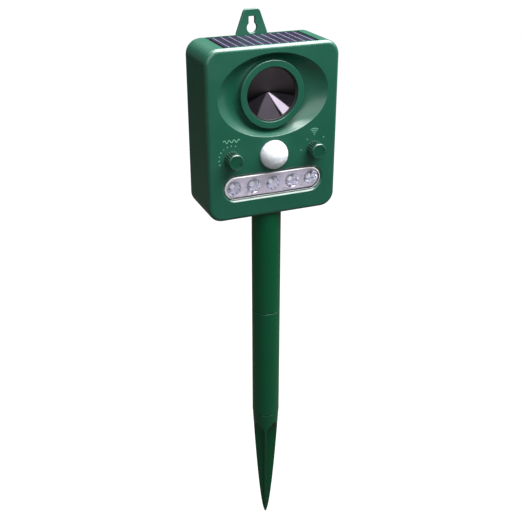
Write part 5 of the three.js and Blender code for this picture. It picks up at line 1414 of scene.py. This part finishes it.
class REPELLER_OT_sounder(bpy.types.Operator):
    """Makes the loudspeaker's gasket and polished funnel"""

    bl_idname = "repeller.sounder"
    bl_label = "Loudspeaker"

    def execute(self, context):
        make_sounder()
        return {"FINISHED"}


class REPELLER_OT_motion_dome(bpy.types.Operator):
    """Makes the motion sensor's faceted dome"""

    bl_idname = "repeller.motion_dome"
    bl_label = "Motion Dome"

    def execute(self, context):
        make_motion_dome()
        return {"FINISHED"}


class REPELLER_OT_knobs(bpy.types.Operator):
    """Makes the two knurled control knobs"""

    bl_idname = "repeller.knobs"
    bl_label = "Knobs"

    def execute(self, context):
        make_knobs()
        return {"FINISHED"}


class REPELLER_OT_dial_marks(bpy.types.Operator):
    """Makes the printed dots and plain signs round the knobs"""

    bl_idname = "repeller.dial_marks"
    bl_label = "Dial Marks"

    def execute(self, context):
        make_dial_marks()
        return {"FINISHED"}


class REPELLER_OT_lamp_strip(bpy.types.Operator):
    """Makes the lamp strip's window, reflector and lamps"""

    bl_idname = "repeller.lamp_strip"
    bl_label = "Lamp Strip"

    def execute(self, context):
        make_lamp_strip()
        return {"FINISHED"}


class REPELLER_OT_stake_tubes(bpy.types.Operator):
    """Makes the stake's two tubes"""

    bl_idname = "repeller.stake_tubes"
    bl_label = "Stake Tubes"

    def execute(self, context):
        make_stake_tubes()
        return {"FINISHED"}


class REPELLER_OT_spike(bpy.types.Operator):
    """Makes the finned ground spike"""

    bl_idname = "repeller.spike"
    bl_label = "Ground Spike"

    def execute(self, context):
        make_spike()
        return {"FINISHED"}


class REPELLER_OT_inner_parts(bpy.types.Operator):
    """Gives the inner parts their finishes"""

    bl_idname = "repeller.inner_parts"
    bl_label = "Inner Parts"

    def execute(self, context):
        finish_inner_parts()
        return {"FINISHED"}


STEPS = (
    REPELLER_OT_studio, REPELLER_OT_inner_parts, REPELLER_OT_front_shell, REPELLER_OT_rear_shell,
    REPELLER_OT_case_fasteners, REPELLER_OT_door, REPELLER_OT_rear_controls, REPELLER_OT_sun_panel,
    REPELLER_OT_sounder, REPELLER_OT_motion_dome, REPELLER_OT_knobs, REPELLER_OT_dial_marks,
    REPELLER_OT_lamp_strip, REPELLER_OT_stake_tubes, REPELLER_OT_spike,
)


class REPELLER_PT_pieces(bpy.types.Panel):
    """Lists the steps that make the repeller, and its settings"""

    bl_idname = "REPELLER_PT_pieces"
    bl_label = "Garden Pest Repeller"
    bl_space_type = "VIEW_3D"
    bl_region_type = "UI"
    bl_category = "Repeller"

    def draw(self, context):
        for step in STEPS:
            self.layout.operator(step.bl_idname)
        for group in (context.scene.repeller_sizes, context.scene.repeller_colours):
            box = self.layout.box()
            for name in group.__annotations__:
                box.prop(group, name)


CLASSES = (RepellerSizes, RepellerColours, *STEPS, REPELLER_PT_pieces)


def register():
    """Registers the settings, steps and panel."""
    for item in CLASSES:
        bpy.utils.register_class(item)
    bpy.types.Scene.repeller_sizes = bpy.props.PointerProperty(type=RepellerSizes)
    bpy.types.Scene.repeller_colours = bpy.props.PointerProperty(type=RepellerColours)


def unregister():
    """Takes the settings, steps and panel away again."""
    del bpy.types.Scene.repeller_sizes
    del bpy.types.Scene.repeller_colours
    for item in reversed(CLASSES):
        bpy.utils.unregister_class(item)


def main():
    """Builds everything in order."""
    register()
    for step in STEPS:
        group, name = step.bl_idname.split(".")
        getattr(getattr(bpy.ops, group), name)()


if __name__ == "__main__":
    main()
